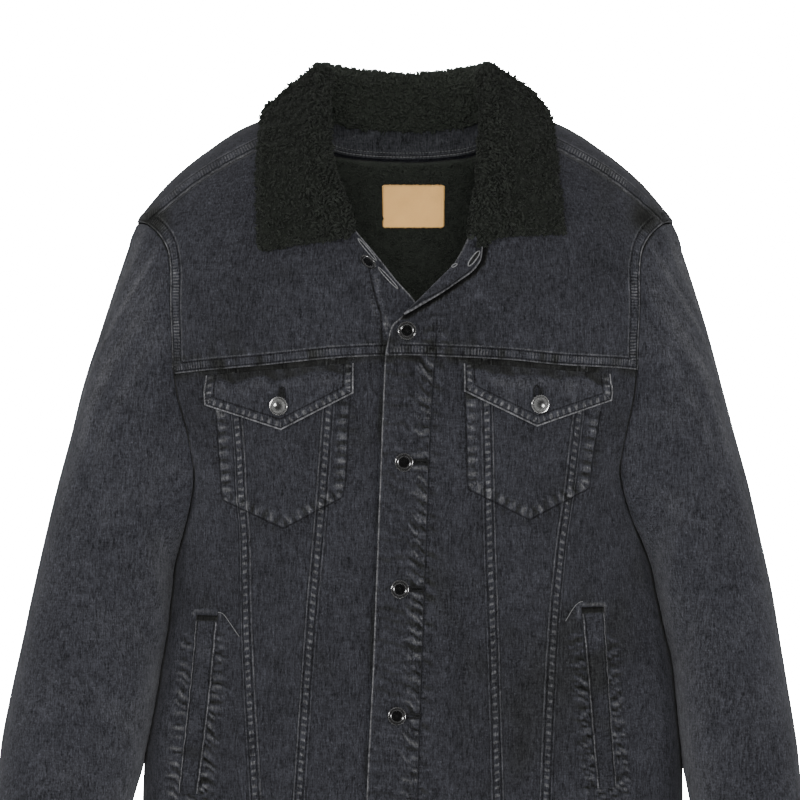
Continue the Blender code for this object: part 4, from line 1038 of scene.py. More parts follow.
def stitched_edge(tree, gap, along, kind, jitter, uneven):
    """What puckers between an edge's two rows, the rows, the fold above them and the rim."""
    hemmed = kind.step(0.7, 0.3)
    felled = kind.ridge(1.0, 0.7)
    coarse = (along * (2 * math.pi / PUCKER_RUNG) + jitter * 8.0).sin().step(0.0, 0.9)
    coarse = coarse * hemmed * gap.step(7.6, 5.6) * gap.step(1.6, 2.8)
    close = (along * (2 * math.pi / CLOSE_RUNG) + jitter * 4.0).sin().step(-0.4, 0.9)
    close = close * felled * gap.step(8.9, 7.9) * gap.step(2.2, 3.2)
    fading = noise(tree, grain_vector(tree), 26.0, 2.0, 0.5)
    close = close * (fading.step(0.4, 0.66) * 0.9 + 0.2)
    rungs = (coarse * 2.1 + close * 1.9) * (uneven * 1.6)
    rows = (gap - 2.0).ridge(0.0, 1.1) + (gap - 8.8).ridge(0.0, 1.25)
    rows = rows * (hemmed + felled)
    fold = (gap - 10.5).ridge(0.0, 1.0) * felled * (uneven * 2.0 - 0.3).max(0.0)
    rim = gap.step(1.7, 0.7) * (uneven * 1.5 + 0.05) * (1.0 - felled * 0.5)
    return rungs, rows, fold, rim


def gathered_row(gap, along, jitter, uneven, mottle):
    """A single row of stitches, and how it gathers the cloth on its inner and outer side."""
    row = gap.abs().step(1.4, 0.4)
    inside = gap.step(0.6, 2.2) * gap.step(10.0, 5.5)
    outside = gap.step(-0.8, -2.0) * gap.step(-6.0, -3.2)
    wave = (along * (2 * math.pi / GATHER_RUNG) + jitter * 9.0 + mottle * 4.0).sin()
    gathers = wave.step(0.0, 0.9) * inside * (uneven * 1.8)
    return row, gathers, wave.step(0.2, 1.0) * outside


def dyed_cloth(tree, colour, factor, light, wear_and_shade):
    """The denim's colour: deeper and olive where it is dark, bare where it is rubbed."""
    olive = (colour[0] * 1.06, colour[1] * 1.08, colour[2] * 0.84)
    bare = (colour[0] * 1.08, colour[1] * 1.06, colour[2] * 0.92)
    plain = tinted(tree, colour, factor)
    deep = tinted(tree, olive, factor)
    dyed = mixed_colour(tree, plain, deep, (wear_and_shade * -2.2 - 0.15).max(0.0).min(1.0))
    rubbed = ((light - 1.15) * 0.8 + wear_and_shade * 0.8).max(0.0).min(1.0)
    return mixed_colour(tree, dyed, tinted(tree, bare, factor), rubbed)


def denim_material(name, colour, wash=1.0):
    """Black denim washed grey: slubby warp, dark stitched rows, pale rungs and worn edges."""
    tree, shader = new_material(name)
    band_d, band_s, edge_d, edge_s, edge_k, line_d, line_s, wear_and_shade = (
        attribute(tree, field) for field in FIELD_NAMES
    )
    streak = noise(tree, grain_vector(tree, (1, 1, 0.16)), 760.0, 2.0, 0.6)
    thread = noise(tree, grain_vector(tree, (1, 1, 0.4)), 1300.0, 1.0, 0.5)
    weft = noise(tree, grain_vector(tree, (0.22, 0.22, 1)), 820.0, 2.0, 0.6)
    speck = noise(tree, grain_vector(tree, (1, 1, 0.5)), 640.0, 2.0, 0.6)
    fleck = noise(tree, grain_vector(tree), 470.0, 1.0, 0.5)
    mottle = noise(tree, grain_vector(tree), 95.0, 3.0, 0.6)
    cloud = noise(tree, grain_vector(tree), 12.0, 3.0, 0.55)
    jitter = noise(tree, grain_vector(tree), 62.0, 2.0, 0.5)
    uneven = noise(tree, grain_vector(tree), 140.0, 2.0, 0.6)

    rungs, band_rows, fold, band_shade = felled_seam(band_d, band_s, jitter, uneven)
    dash = ((band_s + edge_s + line_s) / STITCH).fract()
    dashes = dash.step(0.15, 0.4) * dash.step(0.98, 0.75)
    edge_rungs, edge_rows, edge_fold, rim = stitched_edge(
        tree, edge_d, edge_s, edge_k, jitter, uneven
    )
    line_row, gathers, outer = gathered_row(line_d, line_s, jitter, uneven, mottle)
    rows = band_rows.max(edge_rows).max(line_row)
    height = (
        rungs * 0.45
        + fold * 0.3
        - band_rows * 0.5
        + edge_rungs * 0.32
        - edge_rows * 0.4
        + gathers * 0.15
        - outer * 0.2
        - line_row * 0.6
        + rows * dashes * 0.22
        + (streak - 0.5) * 0.3
        + (speck - 0.5) * 0.2
    )
    bump(tree, shader, height)

    grain = (
        1.0
        + (streak - 0.5) * 2.4
        + (thread - 0.5) * 1.8
        + (weft - 0.5) * 1.2
        + (mottle - 0.5) * 0.8
        + (cloud - 0.5) * 0.45
        + speck.step(0.58, 0.72) * 0.7
        + fleck.step(0.7, 0.76) * 1.0
    ).max(0.3)
    light = (
        1.0
        + rungs * (1.9 * wash)
        + fold * (1.6 * wash)
        + edge_rungs * (1.0 * wash)
        + edge_fold * (1.5 * wash)
        + gathers * (0.3 * wash)
        + rim * (3.2 * wash)
    ).max(0.4)
    dark = (
        (1.0 - band_rows.min(1.0) * (dashes * -0.2 + 0.66))
        * (1.0 - band_shade * 0.28)
        * (1.0 - edge_rows.min(1.0) * (dashes * -0.2 + 0.7))
        * (1.0 - line_row * (dashes * -0.2 + 0.68))
        * (1.0 - outer * 0.3)
    ).max(0.15)
    # Real wear, painted shade and painted light all scale the colour here.
    factor = grain * light * dark * (wear_and_shade + 1.0).max(0.12)
    dyed = dyed_cloth(tree, colour, factor, light, wear_and_shade)
    tree.links.new(dyed, shader.inputs["Base Color"])
    set_inputs(shader, {
        "Roughness": 0.88, "Diffuse Roughness": 1.0, "Specular IOR Level": 0.12,
        "Sheen Weight": 0.03, "Sheen Roughness": 0.5,
    })


def pile_material(name, colour, depth):
    tree, shader = new_material(name)
    shade = attribute(tree, "shade")
    vector = space_vector(tree)
    curl = noise(tree, vector, 330.0, 3.0, 0.6, 1.2)
    tuft = noise(tree, vector, 150.0, 2.0, 0.5, 0.8)
    fine = noise(tree, vector, 1100.0, 1.0, 0.5)
    height = (curl - 0.5) * depth + (tuft - 0.5) * depth * 1.3 + (fine - 0.5) * 0.5
    bump(tree, shader, height)
    factor = (1.0 + (curl - 0.5) * 1.2 + (tuft - 0.5) * 0.9 + (fine - 0.5) * 0.8 + shade).max(0.3)
    paint(tree, shader, colour, factor)
    set_inputs(shader, {
        "Roughness": 0.95, "Specular IOR Level": 0.1, "Sheen Weight": 0.03, "Sheen Roughness": 0.5,
    })


def label_material(name, colour):
    tree, shader = new_material(name)
    vector = space_vector(tree)
    grain = noise(tree, vector, 900.0, 2.0, 0.6)
    patch_tone = noise(tree, vector, 60.0, 2.0, 0.5)
    edge_d = attribute(tree, "edge_d")
    factor = 1.02 + (grain - 0.5) * 0.2 + (patch_tone - 0.5) * 0.2 - edge_d.step(1.5, 0.2) * 0.45
    paint(tree, shader, colour, factor)
    bump(tree, shader, (grain - 0.5) * 0.12 + edge_d.ridge(2.2, 0.6) * -0.12)
    set_inputs(shader, {"Roughness": 0.72})


def metal_material(name, colour, roughness):
    """Plated metal, painted darker ring by ring: patina in its recesses, painted dark reflections
    elsewhere; scuffed on its rims.
    """
    tree, shader = new_material(name)
    vector = space_vector(tree)
    scuff = noise(tree, vector, 700.0, 3.0, 0.6)
    stain = noise(tree, vector, 190.0, 2.0, 0.5)
    recess = attribute(tree, "recess")
    factor = ((scuff - 0.5) * 0.5 + (stain - 0.5) * 1.1 + 1.0).max(0.2) * (1.0 - recess * 0.92)
    paint(tree, shader, colour, factor)
    set_inputs(shader, {"Metallic": 0.9, "Roughness": roughness})
    bump(tree, shader, (scuff - 0.5) * 0.05)


def thread_material(name, colour):
    tree, shader = new_material(name)
    fine = noise(tree, space_vector(tree), 1500.0, 2.0, 0.5)
    uneven = noise(tree, space_vector(tree), 240.0, 2.0, 0.5)
    factor = 1.0 + (fine - 0.5) * 0.9 + (uneven - 0.5) * 1.2
    paint(tree, shader, colour, factor)
    bump(tree, shader, (fine - 0.5) * 0.25)
    set_inputs(shader, {"Roughness": 0.8})


def backdrop_material():
    """A white backdrop that gives off its own even light."""
    tree, shader = new_material("studio_backdrop")
    soft = noise(tree, space_vector(tree), 0.4, 1.0, 0.5)
    factor = 1.0 + (soft - 0.5) * 0.01
    paint(tree, shader, (1.0, 1.0, 1.0), factor, "Emission Color")
    set_inputs(shader, {
        "Emission Strength": 40.0, "Base Color": (0.8, 0.8, 0.8, 1.0), "Roughness": 1.0,
    })


def floor_material():
    tree, shader = new_material("studio_floor")
    soft = noise(tree, space_vector(tree), 1.5, 2.0, 0.5)
    factor = 1.0 + (soft - 0.5) * 0.02
    paint(tree, shader, (0.82, 0.82, 0.82), factor)
    set_inputs(shader, {"Roughness": 0.9})


def make_materials():
    denim_material("denim", (0.0148, 0.0152, 0.0184))
    denim_material("denim_inside", (0.0234, 0.0243, 0.0272), wash=0.8)
    pile_material("pile", (0.0097, 0.0111, 0.0090), 1.4)
    # The lining's pile is painted lighter than the collar's to make up for the shade inside the
    # jacket.
    pile_material("lining_pile", (0.0112, 0.0127, 0.0106), 1.8)
    label_material("label", (0.98, 0.56, 0.195))
    metal_material("dark_metal", (0.36, 0.36, 0.36), 0.17)
    metal_material("bright_metal", (0.74, 0.74, 0.73), 0.17)
    thread_material("thread", (0.0050, 0.0052, 0.0058))
    thread_material("pale_thread", (0.098, 0.099, 0.101))
    floor_material()
    backdrop_material()


# ---- torso panels -----------------------------------------------------------------------------
# Samples to each of the solids' own steps, and the size of a cell across a panel.
YOKE_N = 8
PANEL_N = 6
BACK_N = 4
CELL = 2.1 * MM
BACK_CELL = 3.2 * MM
YOKE_COLUMNS = 110
BACK_YOKE_ROWS = 56
WAISTBAND_COLUMNS = 460
WAISTBAND_ROWS = 21
# A front's panels from the middle out: name, wall, and how far the left one stands up.
FRONT_PANELS = (
    ("placket", PLACKET, 0.6 * MM),
    ("front_center", DENIM, 0.0),
    ("front_mid", DENIM, 0.0),
    ("front_side", DENIM, 0.0),
)
PLACKET_SEAM_HEIGHTS = np.arange(-186, -596, -20.0)
# Where the wash or a shadow leaves a tone of its own on the front: x, height, size (mm) and tone.
TONES = (
    (-215, -60, 24, -0.15), (-224, -66, 12, -0.55), (212, -58, 22, -0.15), (214, -62, 12, -0.6),
    (-108, -300, 40, 0.05), (112, -300, 40, 0.03), (-20, -175, 26, -0.1), (60, -200, 40, -0.06),
    (172, -430, 60, -0.24), (-172, -430, 45, -0.16), (100, -470, 60, -0.05), (-100, -130, 60, 0.04),
)


def left_edge_distance(points):
    x, z = front_view(points)
    low = smooth(OVERLAP_EDGE, "height", "x", z)
    high = smooth(V_EDGE["L"], "height", "x", z)
    return np.where(z > -186, (x - high) * 0.75, x - low)


def front_lift(side, places):
    if side == "L":
        return np.zeros(places.shape[:-1])
    points = form_at(places)
    over = left_edge_distance(points)
    return -UNDERLAP_DROP * ease((over + 13) / 11) * ease((-points[..., 2] / MM - 112) / 26)


def seam_line(rows, shift=0.0, back=False, mirror=False):
    """A down-running seam as points on the form, for distances."""
    z = np.arange(-170, -600, -8.0)
    x = smooth(rows, "height", "x", z) + shift
    if mirror:
        x = -x
    places = place(x, z, back)
    return torso_at(places)


def cell_count(left, right, cell=CELL):
    a = form_at(left)
    b = form_at(right)
    return max(6, int(round(np.linalg.norm(a - b, axis=1).mean() / cell)))


def pucker_relief(band):
    """Relief (mm) that the mesh itself carries along a felled seam."""
    gap = np.abs(band[0])
    relief = 0.75 * ease((SEAM_BAND + 0.9 - gap) / 1.6)
    return relief + 0.28 * wavy(band[1] / 1.07, 5) * ease((SEAM_BAND - gap) / 2.0)


def broad_wash_and_light(points):
    """The wash, with painted light on the lower front's sides and the TONES of wash and shadow."""
    x, z = front_view(points)
    front = points[..., 1] < 0
    facing = ease((0.03 - points[..., 1]) / 0.05)
    tone = 0.09 * soft_noise(points, 0.09, 3) + 0.06 * soft_noise(points, 0.03, 4)
    # Painted light: the front's sides below the chest are made paler, the right more, to make up
    # for their shade.
    side_painted_light = np.where(x < 0, 0.24, 0.03)
    tone = tone + side_painted_light * ease((np.abs(x) - 168) / 40) * front * ease((-250 - z) / 30)
    for px, pz, size, depth in TONES:
        tone = tone + depth * np.exp(-(((x - px) / size) ** 2) - ((z - pz) / size) ** 2) * facing
    return tone


def welt_box(side):
    """The welt's corners, from its outer foot round over its top."""
    outer, inner = WELTS[side]["outer"], WELTS[side]["inner"]
    return [outer[1], outer[0], inner[0], inner[1]]


def flat_points(x, z):
    """(x, height) in mm as points for the flat distances."""
    return np.stack([x, 0 * x, z], axis=-1) * MM


def crease_relief(points):
    return fold_depth(points, CREASES, 0.25)


def finish_panel(name, places, thickness, lift, relief, fields):
    """Lays a denim panel on the torso: its folds, its relief (mm), its wash with painted light, and
    its edges.
    """
    out = normal_at(places)
    grid = torso_at(places, lift)
    grid = grid + out * crease_relief(grid)[..., None]
    if relief is not None:
        grid = grid + out * (relief * MM)[..., None]
    hollow = crease_relief(grid) / MM
    # The wash with its painted light, and a tone darker in the creases' hollows and paler on their
    # ridges.
    fields["wear_and_shade"] = fields["wear_and_shade"] + broad_wash_and_light(grid) + 0.10 * hollow
    made = shell(name, grid, out, thickness, [name], fields=fields)
    declare(made, grid)
    return grid


def yoke_seams(side, hem, arm, shoulder_gap, z):
    """Relief (mm), wear and a painted shadow along the yoke's lower seam, its armhole and its
    shoulder seam.
    """
    hem_gap, hem_along = hem
    arm_gap, arm_along = arm
    in_band = ease((11 - hem_gap) / 3)
    wear_and_shade = 0.18 * wavy(hem_along / 2.6, 22) * in_band
    wear_and_shade -= 0.45 * np.clip(1.7 * wavy(hem_along / 8.0, 23 + SIDES[side]) - 0.35, 0, 1) * in_band
    wear_and_shade -= 0.22 * bell(hem_gap - 13.0, 2.4) * (0.5 + 0.5 * wavy(hem_along / 9, 2))
    # Painted shadow: a dark line below the shoulder seam, where the back yoke laps over the front.
    wear_and_shade -= 0.3 * bell(shoulder_gap, 2.2)
    arm_band = ease((7.5 - arm_gap) / 2) * ease((z + 140) / 40) * ease((-74 - z) / 10)
    beat = np.clip(np.sin(arm_along * 0.72 + 0.8 * wavy(arm_along / 9.0, 27)), 0, 1)
    wear_and_shade += arm_band * (0.1 + 1.1 * beat * (0.6 + 0.4 * wavy(arm_along / 5.2, 25 + SIDES[side])))
    relief = 0.9 * ease((10.5 - hem_gap) / 2.0) + 0.6 * ease((7.4 - arm_gap) / 2.0)
    relief += 0.35 * wavy(hem_along / 1.9, 12) * ease((9 - hem_gap) / 4)
    return relief, wear_and_shade


def facing_shadow(points):
    """The dark line beside the free edge of the turned facing."""
    reach = 4.1 + 1.4 * ease((points[..., 2] / MM + 120) / 20)
    gap, _ = near_flat(points, list(zip(FACING_EDGE["x"], FACING_EDGE["height"])))
    return 0.88 * ease((reach - np.abs(gap)) / 1.2)


def left_of_v(points):
    """The stitches below the left front's V: distances, puckers and how far these reach."""
    gap, along = near_flat(points, V_STITCHES)
    gap = -np.abs(gap)
    return gap, along, puckers(along, gap, 10.0, 33, 0.4), ease((14 + gap) / 9)


def right_of_v(points, wear_and_shade):
    """The same at the right front's long crease, whose pale streaks go into the wear."""
    gap, along = near_flat(points, V_CREASE)
    streak = bell(gap + 3.6 + 0.8 * wavy(along / 4.6, 35), 1.5)
    streak *= 0.55 + 0.45 * wavy(along / 5.5, 37)
    second = bell(gap - 3.8 - 0.6 * wavy(along / 5.4, 36), 1.4)
    streak += 0.5 * second * ease((along - 20) / 8) * ease((48 - along) / 8)
    span = ease((along - 3) / 6) * ease((64 - along) / 8)
    wear_and_shade += (1.5 * streak - 0.45 * bell(gap, 1.5)) * span
    fold_gap, _ = near_flat(points, V_FOLD)
    wear_and_shade += 1.1 * bell(fold_gap, 1.3)
    beside = ease((9 - np.abs(gap)) / 6) * ease((along - 4) / 10)
    return -gap, along, puckers(along, gap, 8.0, 31, 0.5), beside * 0.3


def front_yoke(side):
    hole = armhole(side, YOKE_N)["front"]
    start = ARM_TOP_STEPS * YOKE_N
    arm = hole[start:start + ARM_YOKE_STEPS * YOKE_N + 1]
    opening = np.vstack([neck_front(side, YOKE_N)[::-1], v_edge(side, YOKE_N)[1:]])
    top = shoulder_seam(side, YOKE_COLUMNS)
    top[0] = opening[0]
    bottom = across_seam(YOKE_SEAM, opening[-1], arm[-1], YOKE_COLUMNS)
    places = patch(opening, arm, top, bottom)
    points = torso_at(places)
    opening_v = opening[NECK_FRONT_STEPS * YOKE_N:]
    hem, at_arm, shoulder, at_v = (
        near_line(points, torso_at(line[::4])) for line in (bottom, arm, top, opening_v)
    )
    fields = nearest_edge(
        (*hem, FELLED), (at_arm[0] * ARM_BAND_SCALE, at_arm[1], FELLED), (*at_v, FOLDED)
    )
    relief, wear_and_shade = yoke_seams(side, hem, at_arm, shoulder[0], points[..., 2] / MM)
    if side == "L":
        wear_and_shade -= facing_shadow(points)
    # Gathers that run up from the yoke seam over the flaps.
    rising = bell(hem[0] - 14, 10)
    wave = wavy(hem[1] / 3.1, 17)
    relief += 0.45 * wave * rising
    wear_and_shade += scuffed(wave, 0.22, 0.14) * rising
    gap, along, wave, beside = left_of_v(points) if side == "L" else right_of_v(points, wear_and_shade)
    relief += 0.7 * wave * beside
    wear_and_shade += scuffed(wave, 0.7, 0.2) * beside * ease(np.abs(gap) / 1.5)
    fields.update({"line_d": gap, "line_s": along, "wear_and_shade": wear_and_shade})
    grid = finish_panel(
        f"front_yoke_{side}", places, DENIM + 1.0 * MM, front_lift(side, places), relief, fields,
    )
    if side == "R":
        for loop in V_LOOPS:
            THREADS["pale_thread"].append(buttonhole(grid, *loop, 0.42))


def low_rows(side, face, n):
    hole = armhole(side, n)[face][-ARM_LOW_STEPS * n - 1:]
    down = np.linspace(PIT, WAIST_SEAM, SIDE_STEPS * n + 1)[1:] * MM
    return np.vstack([hole, np.stack([0 * down + SIDES[side] * math.pi / 2, down], axis=1)])


def seam_places(rows, side_line, top_rows, weight, back=False, side="L"):
    drops = (side_line[:, 1] - side_line[0, 1]) / (side_line[-1, 1] - side_line[0, 1])
    even = np.linspace(0, 1, len(drops))
    drops = (1 - weight) * even + weight * drops
    sign = 1 if side == "L" or not back else -1
    x = smooth(rows, "height", "x", np.full(len(drops), -190.0 if not back else -166.0)) * sign
    for _ in range(3):
        top = smooth(top_rows, "x", "height", x)
        z = top + drops * (WAIST_SEAM - top)
        x = smooth(rows, "height", "x", z) * sign
    return place(x, z, back)


def low_patch(left, right, count, seam_rows):
    top = across_seam(seam_rows, left[0], right[0], count)
    return patch(left, right, top, level_line(left[-1], right[-1], count))


def shifted(rows, by):
    return {"height": rows["height"], "x": rows["x"] + by}


def front_seams(side):
    """The four seams of a front, from its middle out."""
    if side == "R":
        return UNDERLAP_EDGE, shifted(OVERLAP_EDGE, UNDER_SEAM_INSET), RIGHT_INNER, RIGHT_OUTER
    return OVERLAP_EDGE, PLACKET_SEAM, LEFT_INNER, LEFT_OUTER


def crumple(along, across, coarse, fine):
    """Coarse and fine gathers together, each a period (mm), a seed and a slant."""
    return 0.7 * puckers(along, across, *coarse) + 0.45 * puckers(along, across, *fine)


# Each of these works a part of a front's surface into its relief (mm) and its wear; under_yoke and
# beside_sleeve paint shadow into the wear.
def by_placket_seam(name, points, pocket, relief, wear_and_shade):
    """Gathers on both sides of the left front's placket seam. Returns the stitched row."""
    x, z = front_view(points)
    seam_x = smooth(PLACKET_SEAM, "height", "x", PLACKET_SEAM_HEIGHTS)
    gap, along = near_flat(points, list(zip(seam_x, PLACKET_SEAM_HEIGHTS)))
    gap = np.abs(gap)
    curled = z + 2.6 * wavy(gap / 5.0 + z / 23.0, 43)
    wave = crumple(curled, x, (11.0, 41, 0.45), (6.2, 44, 0.9))
    if name == "placket":
        reach = ease(gap / 1.6) * ease((20 - gap) / 12)
        relief += 1.2 * wave * reach
        wear_and_shade += scuffed(wave, 2.1, 0.7) * reach
        rubbed = scuffed(puckers(curled, x, 9.0, 46, 0.2), 1.0, 1.0)
        wear_and_shade += 0.25 * rubbed * ease((gap - 12) / 8)
        for bx, bz in FRONT_BUTTONS[2:]:
            slot = bell(z - bz, 2.4) * ease((x - bx - 7) / 3) * ease((bx + 23 - x) / 4)
            wear_and_shade[:] = wear_and_shade * (1 - slot) - 0.62 * slot
        return -gap, along
    reach = ease(gap / 2.5) * ease((13 - gap) / 9)
    relief += 0.5 * wave * reach
    wear_and_shade += scuffed(puckers(z, x, 11.5, 47, 0.45), 0.35, 0.4) * reach
    wear_and_shade += 0.5 * bell(gap - 3.2, 0.9) * np.clip(wavy(z / 14.0, 49), 0, 1)
    return nearest([pocket, (-gap - 1.2, along)])


def round_welt(side, points, relief, wear_and_shade):
    """Gathers round the hand pocket, and a pale edge above it."""
    x, z = front_view(points)
    around, along = near_flat(points, welt_box(side))
    around = np.abs(around)
    low = ease((-424 - z) / 16) * ease(around / 2.5)
    curled = z + 2.2 * wavy(around / 4.0 + z / 17.0, 57)
    wave = crumple(curled, x, (9.0, 51, -0.3 * SIDES[side]), (5.2, 54, 0.3))
    relief += 0.8 * wave * ease((22 - around) / 15) * low
    low = low * (0.6 + 0.4 * ease((-450 - z) / 40))
    wear_and_shade += scuffed(wave, 2.4, 0.95) * ease((17 - around) / 12) * low
    above = ease((z + 419) / 5) * bell(around - 2.4, 1.3)
    wear_and_shade += 2.4 * above * (0.7 + 0.3 * wavy(along / 5.0, 53))


def round_pocket(side, pocket, z, relief, wear_and_shade):
    """Gathers inside the stitches of the chest pocket's bag, and their shadow beyond."""
    gap, along = pocket
    sign = SIDES[side]
    beat = np.sin(along * 2 * math.pi / 10.6 + 1.1 * wavy(along / 17.0, 61 + sign))
    wave = 0.75 * beat + 0.35 * puckers(along, gap, 7.0, 64 + sign, 0.3)
    strip = ease(gap / 1.8) * ease((12.5 - gap) / 7) * (z > -350)
    relief += 0.7 * wave * strip + 0.3 * ease(gap / 2.0) * ease((z + 345) / 10)
    wear_and_shade += scuffed(wave, 1.6, 0.5) * strip
    beyond = ease(-gap / 1.5) * ease((gap + 9) / 6) * (z > -350)
    wear_and_shade += scuffed(wave, 0.0, 0.22) * beyond


def under_yoke(side, x, z, wear_and_shade):
    """The shadow below the yoke seam, deeper over the pocket."""
    top_gap = smooth(YOKE_SEAM, "x", "height", x) - z
    wear_and_shade -= 0.55 * bell(top_gap, 5) * (0.7 + 0.3 * wavy(x / 5.0, 55))
    pocket_x = [pair[0] for pair in POCKET_LINES[side]]
    over_pocket = ease((x - min(pocket_x)) / 4) * ease((max(pocket_x) - x) / 4)
    wear_and_shade -= 0.35 * ease((9.5 - top_gap) / 2) * over_pocket


def beside_sleeve(side, points, arm, sleeve_line, wear_and_shade):
    """The shadows of the sleeve and of the armhole's seam on the side panel."""
    x, z = front_view(points)
    beside = SIDES[side] * (np.interp(z, *sleeve_line) - x)
    wear_and_shade -= 0.85 * ease((2.3 - np.abs(beside)) / 1.0) * ease((-276 - z) / 14)
    at_arm, _ = near_line(points, torso_at(arm[::3]))
    wear_and_shade -= 0.8 * ease((1.7 - at_arm) / 0.9) * (z > -300)


def front_panels(side, sleeve_line):
    line = low_rows(side, "front", PANEL_N)
    seams = front_seams(side)
    joins = (*seams[:2], *(shifted(rows, SIDES[side] * SEAM_BAND) for rows in seams[2:]))
    weights = (0.0, 0.0, 0.25, 0.6)
    lines = [seam_places(rows, line, YOKE_SEAM, weight) for rows, weight in zip(joins, weights)]
    lines.append(line)
    bands = [seam_line(rows) for rows in seams[2:]]
    grids = {}
    for (name, wall, left_lift), left, right in zip(FRONT_PANELS, lines[:-1], lines[1:]):
        places = low_patch(left, right, cell_count(left, right), YOKE_SEAM)
        points = torso_at(places)
        x, z = front_view(points)
        inner, outer = (smooth(rows, "height", "x", z) for rows in seams[2:])
        between = (x - inner) * (x - outer) < 0
        band = signed(nearest([near_line(points, seam) for seam in bands]), between)
        fields = {"band_d": band[0], "band_s": band[1]}
        wear_and_shade = np.zeros(x.shape)
        relief = pucker_relief(band)
        pocket = near_flat(points, POCKET_LINES[side])
        row = pocket
        lifts = front_lift(side, places)
        if side == "L":
            lifts = lifts + left_lift
            if name in ("placket", "front_center"):
                row = by_placket_seam(name, points, pocket, relief, wear_and_shade)
            if name == "placket":
                border = near_line(points, torso_at(left[::4]))
                fields.update(nearest_edge((*border, FOLDED)))
        elif name == "front_center":
            # Painted shadow: the right front is darker just beside the left front's overlapping
            # edge.
            overlap_edge_shadow = bell(left_edge_distance(points) + 2.0, 2.2)
            wear_and_shade -= 0.35 * overlap_edge_shadow * np.clip(0.5 + wavy(z / 16.0, 45), 0, 1)
        curve_gap, curve_along = near_flat(points, WELT_CURVES[side])
        row = nearest([row, (-np.abs(curve_gap) - 0.7, curve_along)])
        round_welt(side, points, relief, wear_and_shade)
        round_pocket(side, pocket, z, relief, wear_and_shade)
        under_yoke(side, x, z, wear_and_shade)
        if name == "front_side":
            beside_sleeve(side, points, right, sleeve_line, wear_and_shade)
        fields.update({"line_d": row[0], "line_s": row[1], "wear_and_shade": wear_and_shade})
        grids[name] = finish_panel(
            f"{name}_{side}", places, wall, lifts, relief, fields
        )
    return grids


def back_panels():
    lines = {}
    for side in SIDES:
        line = low_rows(side, "back", BACK_N)
        rows = shifted(BACK_SEAM, SEAM_BAND)
        lines[side] = (line, seam_places(rows, line, BACK_YOKE_SEAM, 0.4, True, side))
    bands = [seam_line(BACK_SEAM, 0.0, True), seam_line(BACK_SEAM, 0.0, True, True)]
    turned = lines["R"][1].copy()
    turned[:, 0] += 2 * math.pi
    todo = [("back_center", lines["L"][1], turned)]
    for side, (line, seam) in lines.items():
        todo.append((f"back_side_{side}", seam, line))
    for name, left, right in todo:
        places = low_patch(left, right, cell_count(left, right, BACK_CELL), BACK_YOKE_SEAM)
        points = torso_at(places)
        band = nearest([near_line(points, seam) for seam in bands])
        seam_x = smooth(BACK_SEAM, "height", "x", points[..., 2] / MM)
        band = signed(band, np.abs(points[..., 0] / MM) < seam_x)
        wear_and_shade = 0.1 * wavy(band[1] / 6.0 + band[0] / 9.0, 63) * ease((20 - np.abs(band[0])) / 12)
        finish_panel(
            name, places, DENIM, 0.0, pucker_relief(band),
            {"band_d": band[0], "band_s": band[1], "wear_and_shade": wear_and_shade},
        )


def back_yoke():
    n = BACK_N
    holes = {side: armhole(side, n) for side in SIDES}
    outer = {}
    for side, hole in holes.items():
        front = hole["front"][:ARM_TOP_STEPS * n + 1][::-1]
        outer[side] = np.vstack([front, hole["back"][1:ARM_BACK_STEPS * n + 1]])
    across_steps = 2 * (NECK_BACK_STEPS - ARM_TOP_STEPS - ARM_BACK_STEPS) * n
    start = outer["L"][-1]
    end = outer["R"][-1].copy()
    end[0] += 2 * math.pi
    middle = across_seam(BACK_YOKE_SEAM, start, end, across_steps)
    far = outer["R"][::-1].copy()
    far[:, 0] += 2 * math.pi
    outline = np.vstack([outer["L"], middle[1:-1], far])
    near = neck_back("R", n)[::-1].copy()
    near[:, 0] += 2 * math.pi
    near[0, 0] = math.pi
    neckline = np.vstack([neck_back("L", n), near[1:]])
    left = shoulder_seam("L", BACK_YOKE_ROWS)
    right = shoulder_seam("R", BACK_YOKE_ROWS)
    right[:, 0] += 2 * math.pi
    places = patch(left, right, neckline, outline)
    points = torso_at(places)
    outline_points = torso_at(outline[::3])
    around = near_line(points, outline_points)
    gap, along = nearest([near_line(points, torso_at(seam[::2])) for seam in (left, right)])
    shoulders = (gap * SHOULDER_BAND_SCALE, along)
    edge = nearest([around, shoulders])
    relief = 0.8 * ease((10.5 - edge[0]) / 2.0)
    relief = relief + 0.3 * wavy(edge[1] / 1.9, 71) * ease((9 - edge[0]) / 4)
    wear_and_shade = 0.2 * wavy(shoulders[1] / 6.0, 73) * ease((12 - shoulders[0]) / 3)
    fields = nearest_edge((*shoulders, FELLED), (*around, FELLED))
    fields["wear_and_shade"] = wear_and_shade
    finish_panel("back_yoke", places, DENIM + 0.8 * MM, 0.0, relief, fields)


